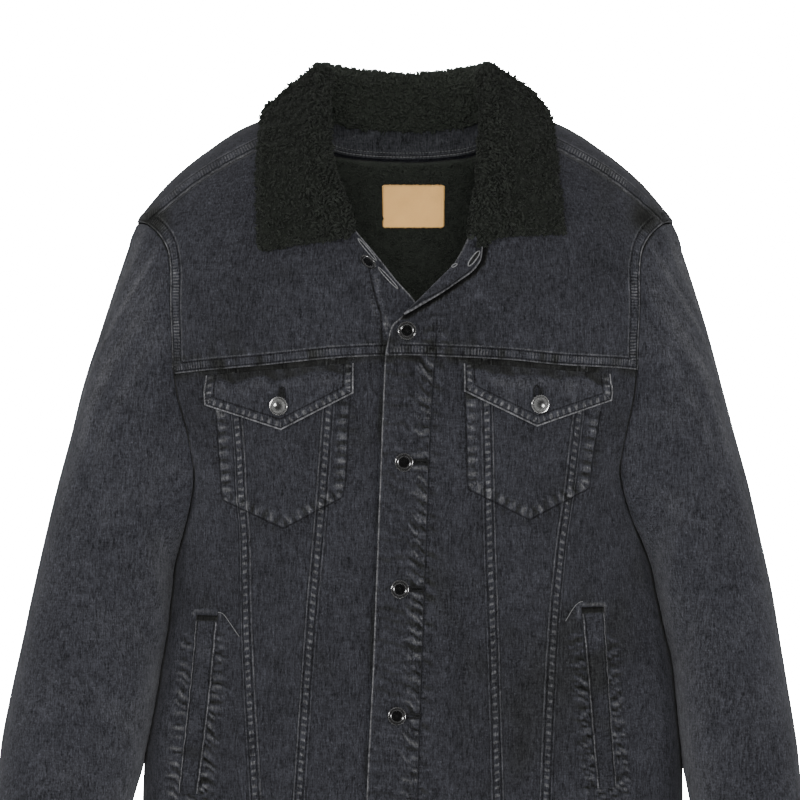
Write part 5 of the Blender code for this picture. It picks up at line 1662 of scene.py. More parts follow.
def waistband():
    rows = np.linspace(WAIST_SEAM + 1.0, HEM, WAISTBAND_ROWS)
    start = smooth(OVERLAP_EDGE, "height", "x", rows)
    end = smooth(UNDERLAP_EDGE, "height", "x", rows)
    first = place(start, rows)[:, 0]
    last = place(end, rows)[:, 0] + 2 * math.pi
    share = np.linspace(0, 1, WAISTBAND_COLUMNS + 1)
    angle = first[:, None] + (last - first)[:, None] * share[None]
    height = np.repeat(rows[:, None] * MM, len(share), axis=1)
    over = ease((share - 0.93) / 0.04)[None]
    lift = 1.0 * MM * (1 - over) - (UNDERLAP_DROP + 0.8 * MM) * over
    along = angle * 200.0
    from_top = WAIST_SEAM + 1.0 - height / MM
    from_low = height / MM - HEM
    gap = np.minimum(from_top, from_low)
    relief = 0.35 * wavy(along / 2.0, 81) * bell(gap - 5, 5)
    relief = relief - 0.5 * bell(gap, 1.2)
    wear_and_shade = 0.2 * wavy(along / 2.0, 81) * bell(gap - 5, 5)
    edge_d = np.where(gap < 4.5, gap, FAR)
    finish_panel(
        "waistband", np.stack([angle, height], axis=-1), BAND, lift, relief,
        {"edge_d": edge_d, "edge_s": along, "edge_k": FOLDED + 0 * along, "wear_and_shade": wear_and_shade},
    )


# ---- what lies on the panels ------------------------------------------------------------------
def flap(side):
    size = FLAPS[side]
    (x1, z1), (x2, z2) = size["top"]
    tip_x, tip_z = size["tip"]
    x = np.concatenate([np.linspace(x1, tip_x, 33)[:-1], np.linspace(tip_x, x2, 33)])
    top = np.interp(x, [x1, x2], [z1 - FLAP_DROP * 0.3, z2 - FLAP_DROP * 0.3])
    bottom = np.interp(x, [x1, tip_x, x2], [size["side"][0], tip_z, size["side"][1]])
    v = np.linspace(0, 1, 30)[:, None]
    z = top + v * (bottom - top)
    xs = np.repeat(x[None], len(v), axis=0)
    border = [(x1, z1), (x1, size["side"][0]), (tip_x, tip_z), (x2, size["side"][1]), (x2, z2)]
    places = place(xs, z)
    gap, along = near_flat(flat_points(xs, z), border)
    gap = np.abs(gap)
    from_top = top - z
    lift = 2.5 + 2.1 * np.sin(math.pi * np.clip(v, 0, 1) * 0.7) + 0 * xs
    sway = wavy(xs / 7.0, 90 + SIDES[side])
    fold = bell(from_top - 13.5 - 2.5 * sway, 4.2)
    sink = ease((9.0 + 3.0 * sway - from_top) / 3.5)
    ripple = 0.35 * wavy(along / 1.6, 95) * ease((9 - gap) / 4) * ease(gap / 2)
    lift = lift + 0.8 * fold - 1.0 * sink + ripple
    bx, bz = FLAP_BUTTONS[side]
    around = np.hypot(xs - bx, z - bz)
    lift = lift - 0.8 * bell(around, 9)
    # Painted shade and highlight: the flap is darker at its top, where it sinks under the yoke, and
    # paler along its fold's ridge; it is also darker round its button.
    wear_and_shade = (0.35 * fold * (0.6 + 0.4 * wavy(xs / 11.0, 93)) - 0.55 * sink) * ease((gap - 2.0) / 2.0)
    wear_and_shade = wear_and_shade + 0.16 - 0.2 * bell(around, 12) + 0.14 * wavy(xs / 3.0 + z / 7, 97)
    slot = bell(xs - bx - 2, 3.0) * ease((z - bz - 6) / 3) * ease((bz + 18 - z) / 5)
    wear_and_shade = wear_and_shade * (1 - slot) - 0.5 * slot
    grid = finish_panel(
        f"flap_{side}", places, FLAP + 0.4 * MM, lift * MM, None,
        {**nearest_edge((gap, along, HEMMED)), "wear_and_shade": wear_and_shade},
    )
    button(f"flap_button_{side}", bx, bz, 5.4 * MM, finish="bright_metal", section_rows=DOME_BUTTON)
    toward = 1 if side == "R" else -1
    THREADS["thread"].append(buttonhole(grid, bx + toward, bz + 10.5, 90, 11, 2.4))


def welt(side):
    size = WELTS[side]
    v = np.linspace(0, 1, 80)[:, None]
    ends = [np.array(size[name], float) for name in ("outer", "inner")]
    lines = [(1 - v) * end[0] + v * end[1] for end in ends]
    if lines[0][0, 0] > lines[1][0, 0]:
        lines = lines[::-1]
    u = np.linspace(0, 1, 13)[None, :, None]
    flat = (1 - u) * lines[0][:, None] + u * lines[1][:, None]
    crown = 2.5 + 0.8 * np.sin(math.pi * u[..., 0])
    lift = crown + 0.4 * wavy(flat[..., 1] / 2.6, 101 + SIDES[side])
    places = place(flat[..., 0], flat[..., 1])
    box = welt_box(side)
    points = flat_points(flat[..., 0], flat[..., 1])
    sides = [near_flat(points, part) for part in (box[:2], box[2:])]
    gap, along = nearest(sides)
    gap = np.abs(gap)
    z = flat[..., 1]
    top = size["outer"][0][1]
    wear_and_shade = 0.2 * soft_noise(points, 0.022, 107) - 0.02
    wear_and_shade += 0.3 * ease((z - top + 46) / 20)
    notch = ease((z - top + 5.6) / 1.6)
    wear_and_shade = wear_and_shade * (1 - notch) - (0.5 + 0.3 * ease((z - top + 1.4) / 0.8)) * notch
    gap = gap + 0.55 + 3 * notch
    finish_panel(
        f"welt_{side}", places, WELT, lift * MM, None,
        {**nearest_edge((gap, along, FOLDED)), "line_d": -np.abs(gap - 2.4), "line_s": along,
         "wear_and_shade": wear_and_shade},
    )
    curve = curve_through(np.array(WELT_CURVES[side], float), 8)
    places = place(curve[:, 0], curve[:, 1])
    path = torso_at(places, 0.9 * MM + 0 * curve[:, 0])
    THREADS["pale_thread"].append(tube(path, 0.31 * MM, 5))


def facing():
    fine = {name: curve_through(np.stack([rows["x"], rows["height"]], axis=1), 10)
            for name, rows in (("edge", FACING_EDGE), ("roll", FACING_ROLL))}
    v = np.linspace(0, 1, 15)[None]
    x = fine["roll"][:, :1] * (1 - v) + fine["edge"][:, :1] * v
    z = fine["roll"][:, 1:] * (1 - v) + fine["edge"][:, 1:] * v
    steps = np.hypot(*np.diff(fine["edge"], axis=0).T)
    s = np.concatenate([[0], np.cumsum(steps)])[:, None]
    width = np.hypot(fine["roll"] - fine["edge"], 0).max(axis=1)[:, None]
    taper = np.linspace(1, 0.55, len(x))[:, None]
    lift = 3.2 + 3.4 * np.sin(math.pi * np.clip(v, 0, 0.98)) * taper
    lift = lift + 0.5 * wavy(s / 3.2, 111) * np.sin(math.pi * v)
    gap = (1 - v) * width
    wear_and_shade = 0.05 + 0.9 * bell(v * width, 0.9) + 0.15 * wavy(s / 4.0 + v * 3, 113)
    hole_x, hole_z, direction = FACING_HOLE
    turn = math.radians(direction)
    down = (x - hole_x) * math.cos(turn) + (z - hole_z) * math.sin(turn)
    across = (z - hole_z) * math.cos(turn) - (x - hole_x) * math.sin(turn)
    slit = bell(across, 1.5) * ease((8.0 - np.abs(down)) / 2)
    wear_and_shade = wear_and_shade - 0.7 * slit
    along = s + 0 * x
    grid = finish_panel(
        "facing_L", place(x, z), PLACKET, lift * MM, None,
        {**nearest_edge((gap, along, FOLDED)), "line_d": -np.abs(gap - 2.6), "line_s": along,
         "wear_and_shade": wear_and_shade},
    )
    THREADS["pale_thread"].append(buttonhole(grid, *FACING_HOLE, 16, 2.0, 0.5))
    THREADS["pale_thread"].append(buttonhole(grid, *FACING_TACK, 5.0, 1.0, 0.5))


# A shank button's section: share of its radius, height above its seat (mm), how dark it is painted:
# patina in its hollows and painted dark reflections on its rings and dome.
RING_BUTTON = [
    (0.30, 0.0, 0.9), (0.34, 0.9, 0.9), (0.80, 1.35, 0.8), (0.95, 1.7, 0.7), (1.0, 2.3, 0.6),
    (0.985, 2.8, 0.1), (0.94, 3.2, 0.1), (0.87, 3.45, 0.6), (0.79, 3.5, 0.85), (0.71, 3.4, 0.75),
    (0.65, 3.15, 0.2), (0.61, 2.85, 0.3), (0.57, 2.7, 0.95), (0.48, 2.65, 1.0), (0.36, 2.7, 1.0),
    (0.22, 2.8, 1.0), (0.10, 2.85, 0.95), (0.0005, 2.87, 0.95),
]
DOME_BUTTON = [
    (0.30, 0.0, 0.9), (0.34, 0.9, 0.9), (0.82, 1.35, 0.8), (0.97, 1.8, 0.5), (1.0, 2.3, 0.2),
    (0.985, 2.75, 0.0), (0.93, 3.05, 0.1), (0.87, 3.0, 0.75), (0.83, 3.0, 0.8), (0.77, 3.3, 0.2),
    (0.64, 3.9, 0.0), (0.48, 4.4, 0.45), (0.30, 4.75, 0.85), (0.14, 4.9, 0.9), (0.0005, 4.93, 0.9),
]


def seat_at(x, z, lift):
    """A point that stands off the front, and the way out from there."""
    spot = place(x, z)
    return torso_at(spot, np.array(lift)), normal_at(spot)


def button(name, x, z, lift, face=None, base=None, finish="dark_metal", section_rows=RING_BUTTON):
    profile = [(share * BUTTON_RADIUS, height * MM, dark) for share, height, dark in section_rows]
    sides = 48
    turnings = round_turns(sides)
    cosine = np.cos(turnings)
    sine = np.sin(turnings)
    vertices = np.concatenate([
        np.stack([radius * cosine, radius * sine, np.full(sides, height)], axis=1)
        for radius, height, _ in profile
    ])
    # How dark each ring is painted: patina in its hollows, and painted dark reflections on its
    # rings and dome.
    recess = np.repeat([depth for _, _, depth in profile], sides)
    rings = len(profile)
    index = np.arange(rings * sides).reshape(rings, sides)
    index = wrapped(index)
    faces = grid_quads(index)
    seat, out = base or seat_at(x, z, lift)
    if face is not None:
        out = np.array(face)
    out = out / np.linalg.norm(out)
    across = np.cross((0, 0, 1), out)
    across /= np.linalg.norm(across)
    up = np.cross(out, across)
    placed = vertices @ np.stack([across, up, out]) + seat
    add_piece(name, placed, faces, finish, [name], {"recess": recess})


def tube(path, radius, sides=6, closed=False):
    """Vertices and quads of a tube along a path."""
    count = len(path)
    if closed:
        run = np.roll(path, -1, axis=0) - np.roll(path, 1, axis=0)
    else:
        run = np.gradient(path, axis=0)
    run = unit(run)
    helper = np.where(np.abs(run[:, 1:2]) > 0.8, [[1.0, 0, 0]], [[0, 1.0, 0]])
    a = unit(np.cross(run, helper))
    b = np.cross(run, a)
    turn = round_turns(sides)
    radius = np.broadcast_to(radius, (count,))[:, None, None]
    cosine = np.cos(turn)[None, :, None]
    sine = np.sin(turn)[None, :, None]
    ring = path[:, None] + radius * (a[:, None] * cosine + b[:, None] * sine)
    index = np.arange(count * sides).reshape(count, sides)
    index = wrapped(index)
    if closed:
        index = np.concatenate([index, index[:1]], axis=0)
    faces = grid_quads(index)
    return ring.reshape(-1, 3), faces


def joined(parts):
    vertices = []
    faces = []
    total = 0
    for points, quads in parts:
        vertices.append(points)
        faces.append(np.asarray(quads) + total)
        total += len(points)
    return np.concatenate(vertices), np.concatenate(faces)


def on_grid(grid, x, z, proud):
    """Points standing proud (mm) of a front-facing grid at each (x, height)."""
    flat = grid.reshape(-1, 3)
    gap = (flat[None, :, 0] / MM - x[:, None]) ** 2 + (flat[None, :, 2] / MM - z[:, None]) ** 2
    close = np.argsort(gap, axis=1)[:, :4]
    weight = 1 / (np.take_along_axis(gap, close, axis=1) + 0.05)
    depth = (flat[close, 1] * weight).sum(axis=1) / weight.sum(axis=1)
    return np.stack([x * MM, depth - proud * MM, z * MM], axis=-1)


THREADS = {"thread": [], "pale_thread": []}


def buttonhole(grid, x, z, direction, length, half_width, radius=0.75):
    """A closed welt of dense stitches round a slit, on a front-facing grid."""
    turn = math.radians(direction)
    t = np.linspace(0, 2 * math.pi, 110, endpoint=False)
    reach = np.sign(np.cos(t)) * np.abs(np.cos(t)) ** 0.8 * length / 2
    side = np.sin(t) * half_width
    xs = x + reach * math.cos(turn) - side * math.sin(turn)
    zs = z + reach * math.sin(turn) + side * math.cos(turn)
    ripple = radius * (1 + 0.2 * np.sin(t * 37) + 0.2 * np.sin(t * 23))
    return tube(on_grid(grid, xs, zs, 0.35), ripple * MM, 6, True)


def threads():
    for finish, parts in THREADS.items():
        vertices, faces = joined(parts)
        add_piece(f"{finish}_stitches", vertices, faces, finish, [])


def front_buttons(placket):
    for i, (x, z) in enumerate(FRONT_BUTTONS, 1):
        if i == 1:
            button(f"front_button_{i}", x, z, 4.6 * MM, TOP_BUTTON_FACE)
        else:
            proud = 0.0 if i == 2 else (0.6 * MM if z > WAIST_SEAM else 1.0 * MM)
            button(f"front_button_{i}", x, z, proud + BUTTON_SEAT)
            if i > 2 and z > WAIST_SEAM:
                THREADS["thread"].append(buttonhole(placket, x + 12.5, z, 0, 17, 1.8, 0.95))


# ---- sleeves ----------------------------------------------------------------------------------
SLEEVE_N = 5
SLEEVE_STEPS = 230


def armhole_loop(side, n):
    hole = armhole(side, n)
    return np.vstack([hole["front"], hole["back"][::-1][1:-1]])


def ring_at(side, along, angle):
    sign = SIDES[side]
    outer_z = SHOULDER_POINT + (WRIST_OUTER - SHOULDER_POINT) * along
    inner_z = PIT + (WRIST_INNER - PIT) * along
    outer_x = smooth(SLEEVE_OUTER[side], "height", "x", outer_z)
    inner_x = smooth(SLEEVE_INNER[side], "height", "x", inner_z)
    middle_y = smooth(SLEEVE_RINGS, "along", "middle_y", along)
    depth = smooth(SLEEVE_RINGS, "along", "half_depth", along)
    square = smooth(SLEEVE_RINGS, "along", "squareness", along)
    s = np.sin(angle)
    c = np.cos(angle)
    reach = superellipse(s, c, square)
    x = (outer_x + inner_x) / 2 + (outer_x - inner_x) / 2 * c * reach
    z = (outer_z + inner_z) / 2 + (outer_z - inner_z) / 2 * c * reach
    y = middle_y - depth * s * reach
    return np.stack([sign * x, y, z], axis=-1) * MM


def fold_room(points):
    return np.maximum(fold_depth(points), 0.0)


def clear_of_torso(points, clearance):
    centre, half_width, front, back, square = section(points[..., 2])
    x = points[..., 0] - centre
    y = points[..., 1]
    depth = np.where(y < 0, front, back)
    inside = ((np.abs(x) / half_width) ** square + (np.abs(y) / depth) ** square) ** (1 / square)
    radius = np.hypot(x, y)
    wanted = 1 + (clearance + fold_room(points)) / np.maximum(radius, 0.02)
    push = np.maximum(inside, wanted) / np.maximum(inside, 1e-6)
    out = points.copy()
    out[..., 0] = centre + x * push
    out[..., 1] = y * push
    return out


def crease_depth(angle, along, folds=SLEEVE_FOLDS):
    depth = np.zeros(np.broadcast(angle, along).shape)
    degrees = np.degrees(angle) % 360
    for at, where, angle_span, along_span, slant, height in zip(*folds.values()):
        turn = (degrees - at + 180) % 360 - 180
        offset = along - where - slant * turn / 60
        depth += height * np.exp(-((turn / angle_span) ** 2) - (offset / along_span) ** 2)
    return depth * MM


# Finer creases of the sleeves, in the same terms as the folds.
SLEEVE_CREASES = table(
    ("angle", "along", "angle_span", "along_span", "slant", "depth"),
    [
        (62, 0.10, 26, 0.030, 0.10, 0.8),
        (48, 0.16, 20, 0.016, 0.16, -0.7),
        (74, 0.24, 24, 0.016, 0.08, 0.6),
        (40, 0.31, 26, 0.018, 0.12, -0.6),
        (96, 0.36, 30, 0.014, 0.06, 0.7),
        (122, 0.40, 30, 0.013, 0.07, -0.8),
        (84, 0.47, 26, 0.015, -0.06, 0.6),
        (118, 0.55, 30, 0.014, 0.06, 0.8),
        (60, 0.58, 24, 0.015, 0.05, -0.5),
        (100, 0.66, 30, 0.014, -0.05, -0.7),
        (70, 0.74, 26, 0.015, 0.06, 0.6),
        (110, 0.84, 30, 0.014, 0.05, 0.8),
        (80, 0.92, 34, 0.013, -0.04, -0.9),
        (200, 0.30, 30, 0.014, -0.08, 1.0),
        (236, 0.42, 34, 0.014, 0.07, -1.2),
        (260, 0.48, 30, 0.013, -0.06, 1.1),
        (214, 0.56, 34, 0.014, 0.06, -1.1),
        (250, 0.66, 34, 0.014, -0.05, 1.0),
        (290, 0.86, 40, 0.014, 0.05, -1.0),
    ],
)


def sleeve_grid(side):
    loop = armhole_loop(side, SLEEVE_N)
    hole = torso_at(loop)
    pit_column = (ARM_TOP_STEPS + ARM_YOKE_STEPS + ARM_LOW_STEPS) * SLEEVE_N
    top = hole[0, 2]
    bottom = hole[pit_column, 2]
    level = (hole[:, 2] - (top + bottom) / 2) / ((top - bottom) / 2)
    angle = np.arccos(np.clip(level, -1, 1))
    angle[pit_column + 1:] = 2 * math.pi - angle[pit_column + 1:]
    even = np.linspace(0, 2 * math.pi, len(angle), endpoint=False)
    steps = np.linspace(0, 1, SLEEVE_STEPS + 1)
    shares = 0.85 * steps + 0.15 * steps**2
    first = ring_at(side, np.zeros(len(angle)), angle)
    rings = []
    turns = []
    for along in shares:
        turn = angle + (even - angle) * ease(along / 0.5) * 0.6
        ring = ring_at(side, np.full(len(angle), along), turn)
        ring += (hole - first) * (1 - ease(along / SLEEVE_BLEND))
        middle = ring.mean(axis=0)
        out = unit(ring - middle)
        folds = crease_depth(turn, np.full(len(turn), along))
        creases = crease_depth(turn, np.full(len(turn), along), SLEEVE_CREASES)
        inner = bell(np.degrees(turn) % 360 - 170, 46)
        folds = folds * (1 - 0.75 * inner)
        creases = creases * (1 - 0.75 * inner)
        tuck = -1.3 * MM * (1 - ease(along / 0.012))
        ring += out * ((folds + creases) * ease(along / 0.1) + tuck)[:, None]
        if along > 0:
            ring = clear_of_torso(ring, SLEEVE_CLEAR * ease(along / 0.06))
        rings.append(ring)
        turns.append(turn)
    return np.array(rings), np.array(turns), shares


def outward_normals(rings):
    normals = grid_normals(rings, ring=True)
    spokes = rings - rings.mean(axis=1, keepdims=True)
    return normals * np.sign((normals * spokes).sum())


def sleeve_wash_and_light(grid, out, turns, down):
    """Pale streaks and a darker cap, with a painted rim highlight, inner light and seam shadow."""
    creases = crease_depth(turns, down + 0 * turns, SLEEVE_CREASES) / MM
    degrees = np.degrees(turns) % 360
    turned = (degrees + 180) % 360 - 180
    rim_highlight = bell(turned - 18, 24)
    streaks = np.clip(1.4 * wavy(degrees / 3.0 + down * 9, 121), -0.35, 1) * 0.65 + 0.3
    upper_part = 1 - 0.6 * ease((down - 0.25) / 0.4)
    # Painted highlight: pale streaks on the outer rim stand in for the light that rims the sleeve's
    # edge.
    wear_and_shade = 0.2 + (0.06 + 0.52 * streaks * upper_part) * rim_highlight + 0.09 * creases
    shoulder = bell(turned - 40, 27) * bell(down - 0.17, 0.14)
    wear_and_shade = wear_and_shade + 0.55 * streaks * shoulder
    # Painted light: the inner side is made paler the more it turns from the front, to make up for
    # its shade.
    facing = np.clip(-out[..., 1], 0, 1)
    inner_fill_light = ease((turned - 80) / 30) * ease((down - 0.08) / 0.1)
    wear_and_shade = wear_and_shade + 0.72 * (1 - facing) * inner_fill_light
    wear_and_shade = wear_and_shade + 0.09 * soft_noise(grid, 0.05, 123) + 0.06 * soft_noise(grid, 0.02, 124)
    # A darker cap, and a painted shadow line round the sleeve's start along the armhole seam.
    cap = bell(down, 0.035) * bell(turned - 10, 45)
    seam = ease((0.0045 - down) / 0.004)
    return wear_and_shade - 0.3 * cap - 0.85 * seam * (np.abs(turned) > 25)


def inner_outline(side, grid):
    """The heights and x (mm) of the sleeve's edge beside the body, as it shows on the front."""
    front = np.where(grid[..., 1] < 0, grid[..., 0] * SIDES[side], 9.0)
    line = grid[np.arange(len(grid)), front.argmin(axis=1)] / MM
    order = np.argsort(line[:, 2])
    return line[order, 2], line[order, 0]


def sleeves(side):
    """Makes a sleeve and its cuff. Returns the outline that the side panel is shaded along."""
    grid, turns, shares = sleeve_grid(side)
    out = outward_normals(grid)
    columns = grid.shape[1]
    pit = (ARM_TOP_STEPS + ARM_YOKE_STEPS + ARM_LOW_STEPS) * SLEEVE_N
    front_seam = pit - SLEEVE_N
    back_seam = pit + ARM_LOW_STEPS * SLEEVE_N
    upper = np.array([i % columns for i in range(back_seam, columns + front_seam + 1)])
    under = np.arange(front_seam, back_seam + 1)
    past_seam = (np.arange(columns) - back_seam) % columns < columns // 2
    band = signed(near_line(grid, grid[::6, back_seam]), past_seam[None])
    wear_and_shade = sleeve_wash_and_light(grid, out, turns, shares[:, None])
    grid = grid + out * (pucker_relief(band) * MM)[..., None]
    for name, keep in ((f"sleeve_upper_{side}", upper), (f"sleeve_under_{side}", under)):
        part = grid[:, keep]
        made = shell(
            name, part, out[:, keep], DENIM, [name],
            fields={"band_d": band[0][:, keep], "band_s": band[1][:, keep], "wear_and_shade": wear_and_shade[:, keep]},
        )
        declare(made, part)
    cuff(side, grid[-1], grid[-1] - grid[-8])
    return inner_outline(side, grid)


def cuff(side, wrist, run):
    middle = wrist.mean(axis=0)
    axis = unit(run.mean(axis=0))
    spokes = wrist - middle
    count = 128
    turned = np.linspace(0, len(wrist), count, endpoint=False)
    ring = np.stack(
        [np.interp(turned, np.arange(len(wrist) + 1), np.append(c, c[0])) for c in spokes.T], axis=1
    )
    rows = []
    steps = np.linspace(0, 1, 22)
    around = round_turns(count)
    for share in steps:
        scale = 1.03 - 0.04 * share
        gap = min(share, 1 - share) * CUFF_LENGTH
        ripple = 0.35 * MM * wavy(around * 24, 131) * math.exp(-(((gap - 5) / 5) ** 2))
        swell = middle + ring * scale + unit(ring) * ripple[:, None]
        rows.append(swell + axis * CUFF_LENGTH * MM * share)
    grid = np.array(rows)
    out = outward_normals(grid)
    gap = np.minimum(steps, 1 - steps)[:, None] * CUFF_LENGTH + 0 * around[None]
    s = np.repeat(around[None] * 45, len(steps), axis=0)
    fields = nearest_edge((np.where(gap < 4.5, gap, FAR), s, FOLDED))
    fields["wear_and_shade"] = 0.08 + 0.1 * wavy(s / 3, 133)
    made = shell(
        f"cuff_{side}", grid, out, CUFF, [f"cuff_{side}"], fields=fields, ring=True,
        turn_under=12 * MM,
    )
    declare(made, grid, ring=True)
    at = int(count * 0.62)
    spoke = ring[at] - axis * np.dot(ring[at], axis)
    direction = spoke / np.linalg.norm(spoke)
    seat = grid[11][at] + direction * BUTTON_SEAT
    button(f"cuff_button_{side}", 0, 0, 0, base=(seat, direction))


# ---- collar and neck --------------------------------------------------------------------------
NECK_N = 6
ROLL_ARC_STEPS = 4
REFINED_STEPS = 12
COLLAR_UNDER_COLUMNS = 36
COLLAR_TOP_COLUMNS = 62
# Columns of the collar's face that stand up round the neck.
STANDING_COLUMNS = 28


def neckline(side, n):
    front = neck_front(side, n)
    back = neck_back(side, n)
    places = np.vstack([front, back[1:]])
    front_stations = np.linspace(0, 4, len(front))
    lengths = lengths_along(form_at(back))
    back_stations = 4 + 4 * lengths / lengths[-1]
    return places, np.concatenate([front_stations, back_stations[1:]])


def collar_lines(side, n):
    sign = SIDES[side]
    places, station = neckline(side, n)
    roll = np.stack([smooth(COLLAR, "station", f"roll_{axis}", station) for axis in "xyz"], axis=1)
    end_shift = NECK_FRONT[side]["x"][0] * sign - NECK_FRONT["R"]["x"][0] * SIDES["R"]
    roll[:, 0] += end_shift * (1 - ease(station / 3)) * 0.8
    roll[:, 0] *= sign
    rows = COLLAR_EDGE[side]
    ends = place(rows["x"], rows["height"], rows["back"] > 0.5)
    ends = form_at(ends)
    named = {"station": rows["station"], "x": ends[:, 0], "y": ends[:, 1], "z": ends[:, 2]}
    edge = np.stack([smooth(named, "station", axis, station) for axis in "xyz"], axis=1)
    back = ease((station - 6) / 2)
    return {
        "station": station,
        "place": places,
        "edge": edge,
        "roll": roll * MM,
        "loft": COLLAR_LOFT[side] * ease(station / 3) * (1 - back) + COLLAR_LOFT_BACK * back,
        "share": smooth(COLLAR, "station", "pile_start", station),
    }


def whole(halves, key):
    return np.concatenate([halves["R"][key], halves["L"][key][::-1][1:]])


def level_out(vectors):
    return unit(vectors * np.array([1.0, 1.0, 0.0]))


def form_reach(points):
    centre, half_width, front, back, square = section(points[..., 2])
    depth = np.where(points[..., 1] < 0, front, back)
    across = (np.abs(points[..., 0] - centre) / half_width) ** square
    return (across + (np.abs(points[..., 1]) / depth) ** square) ** (1 / square)


def form_slope(points):
    step = 0.5 * MM
    return np.stack(
        [
            (form_reach(points + axis * step) - form_reach(points - axis * step)) / (2 * step)
            for axis in np.eye(3)
        ],
        axis=-1,
    )


def kept_above(points, clearance):
    points = points.copy()
    for _ in range(5):
        slope = form_slope(points)
        steepness = np.maximum(np.linalg.norm(slope, axis=-1), 1.0)
        height = (form_reach(points) - 1) / steepness
        below = np.maximum(clearance + fold_room(points) - height, 0)
        below = np.where(points[..., 2] > FORM_TOP, 0, below)
        points += slope / steepness[..., None] * below[..., None]
    return points


def collar_core(n):
    halves = {side: collar_lines(side, n) for side in SIDES}
    station, places, edge, roll, share, lofts = (
        whole(halves, key) for key in ("station", "place", "edge", "roll", "share", "loft")
    )
    seam = torso_at(places)
    end_out = unit(form_slope(edge))
    end = edge + end_out * (COLLAR_SEAT + fold_room(edge))[:, None]
    seam_out = normal_at(places)
    along = unit(np.gradient(roll, axis=0))
    back = ease((station - 3) / 2)[:, None]
    fall = unit(unit(end - seam) * (1 - back) + level_out(seam) * back)
    fall = unit(fall - along * (fall * along).sum(axis=1, keepdims=True))
    up = np.cross(along, fall)
    on_panel = 1 - ease((station - 2.5) / 1.5)[:, None]
    shift = np.maximum(((roll - seam) * fall).sum(axis=1) - ROLL_RADIUS, 0)[:, None] * on_panel
    off = np.cross(unit(np.gradient(seam, axis=0)), seam_out)
    off *= np.sign((off * (roll - seam)).sum(axis=1))[:, None]
    root = kept_above(seam + fall * shift, 0.0) + seam_out * on_panel * COLLAR_SEAT
    root += off * (1 - on_panel) * 2 * SEAM_GAP
    root_out = unit(-fall * on_panel - seam_out * (1 - on_panel))
    to_end = end - roll
    turn = np.arctan2((to_end * fall).sum(axis=1), (to_end * up).sum(axis=1))[:, None]
    columns = []
    normals = []
    for step in range(ROLL_ARC_STEPS + 1):
        angle = turn * step / ROLL_ARC_STEPS
        out = up * np.sin(angle) - fall * np.cos(angle)
        columns.append(roll + out * ROLL_RADIUS)
        normals.append(out)
    first = columns[0]
    start = root + (first - root) * share[:, None]
    start_out = unit(root_out * (1 - share[:, None]) + normals[0] * share[:, None])
    middle_out = unit(start_out + normals[0])
    columns = [root, start, (start + first) / 2] + columns
    normals = [root_out, start_out, middle_out] + normals
    last = columns[-1]
    last_out = normals[-1]
    for step in (0.28, 0.55, 0.8, 1.0):
        out = unit(last_out * (1 - step) + end_out * step)
        loft = lofts[:, None] * math.sin(math.pi * step)
        points = last + (end - last) * step + out * loft
        columns.append(kept_above(points, COLLAR_SEAT))
        normals.append(out)
    return np.array(columns).transpose(1, 0, 2), np.array(normals).transpose(1, 0, 2)


def refined(core, out, count, first=0):
    """The core's columns drawn as smooth curves with count even steps."""
    core = core[:, first:].transpose(1, 0, 2)
    out = out[:, first:].transpose(1, 0, 2)
    fine_face = curve_through(core + out * PILE * 0.8, REFINED_STEPS)
    fine_core = curve_through(core, REFINED_STEPS)
    fine_out = unit(curve_through(out, REFINED_STEPS))
    grid = []
    normal = []
    for j in range(core.shape[1]):
        lengths = lengths_along(fine_face[:, j])
        grid.append(spaced(fine_core[:, j], lengths, count))
        normal.append(spaced(fine_out[:, j], lengths, count))
    return np.array(grid), unit(np.array(normal))


def neck_inside_light(points, normal):
    """Painted light: the pile inside the neck is made paler than the rest, to make up for its
    shade.
    """
    return 1.15 * ease((points[..., 1] / MM + 15) / 25) * ease((0.3 - normal[..., 1]) / 0.4)


# A tuft is a bent cone: the sides of its rings, and their widths from root to tip.
TUFT_SIDES = 3
TUFT_WIDTHS = (0.95, 1.0, 0.72)


def tuft_faces():
    faces = []
    for level in range(2):
        for k in range(TUFT_SIDES):
            p = level * TUFT_SIDES + k
            q = level * TUFT_SIDES + (k + 1) % TUFT_SIDES
            faces += [(p, q, q + TUFT_SIDES), (p, q + TUFT_SIDES, p + TUFT_SIDES)]
    top = 2 * TUFT_SIDES
    for k in range(TUFT_SIDES):
        faces.append((top + k, top + (k + 1) % TUFT_SIDES, 3 * TUFT_SIDES))
    return np.array(faces)


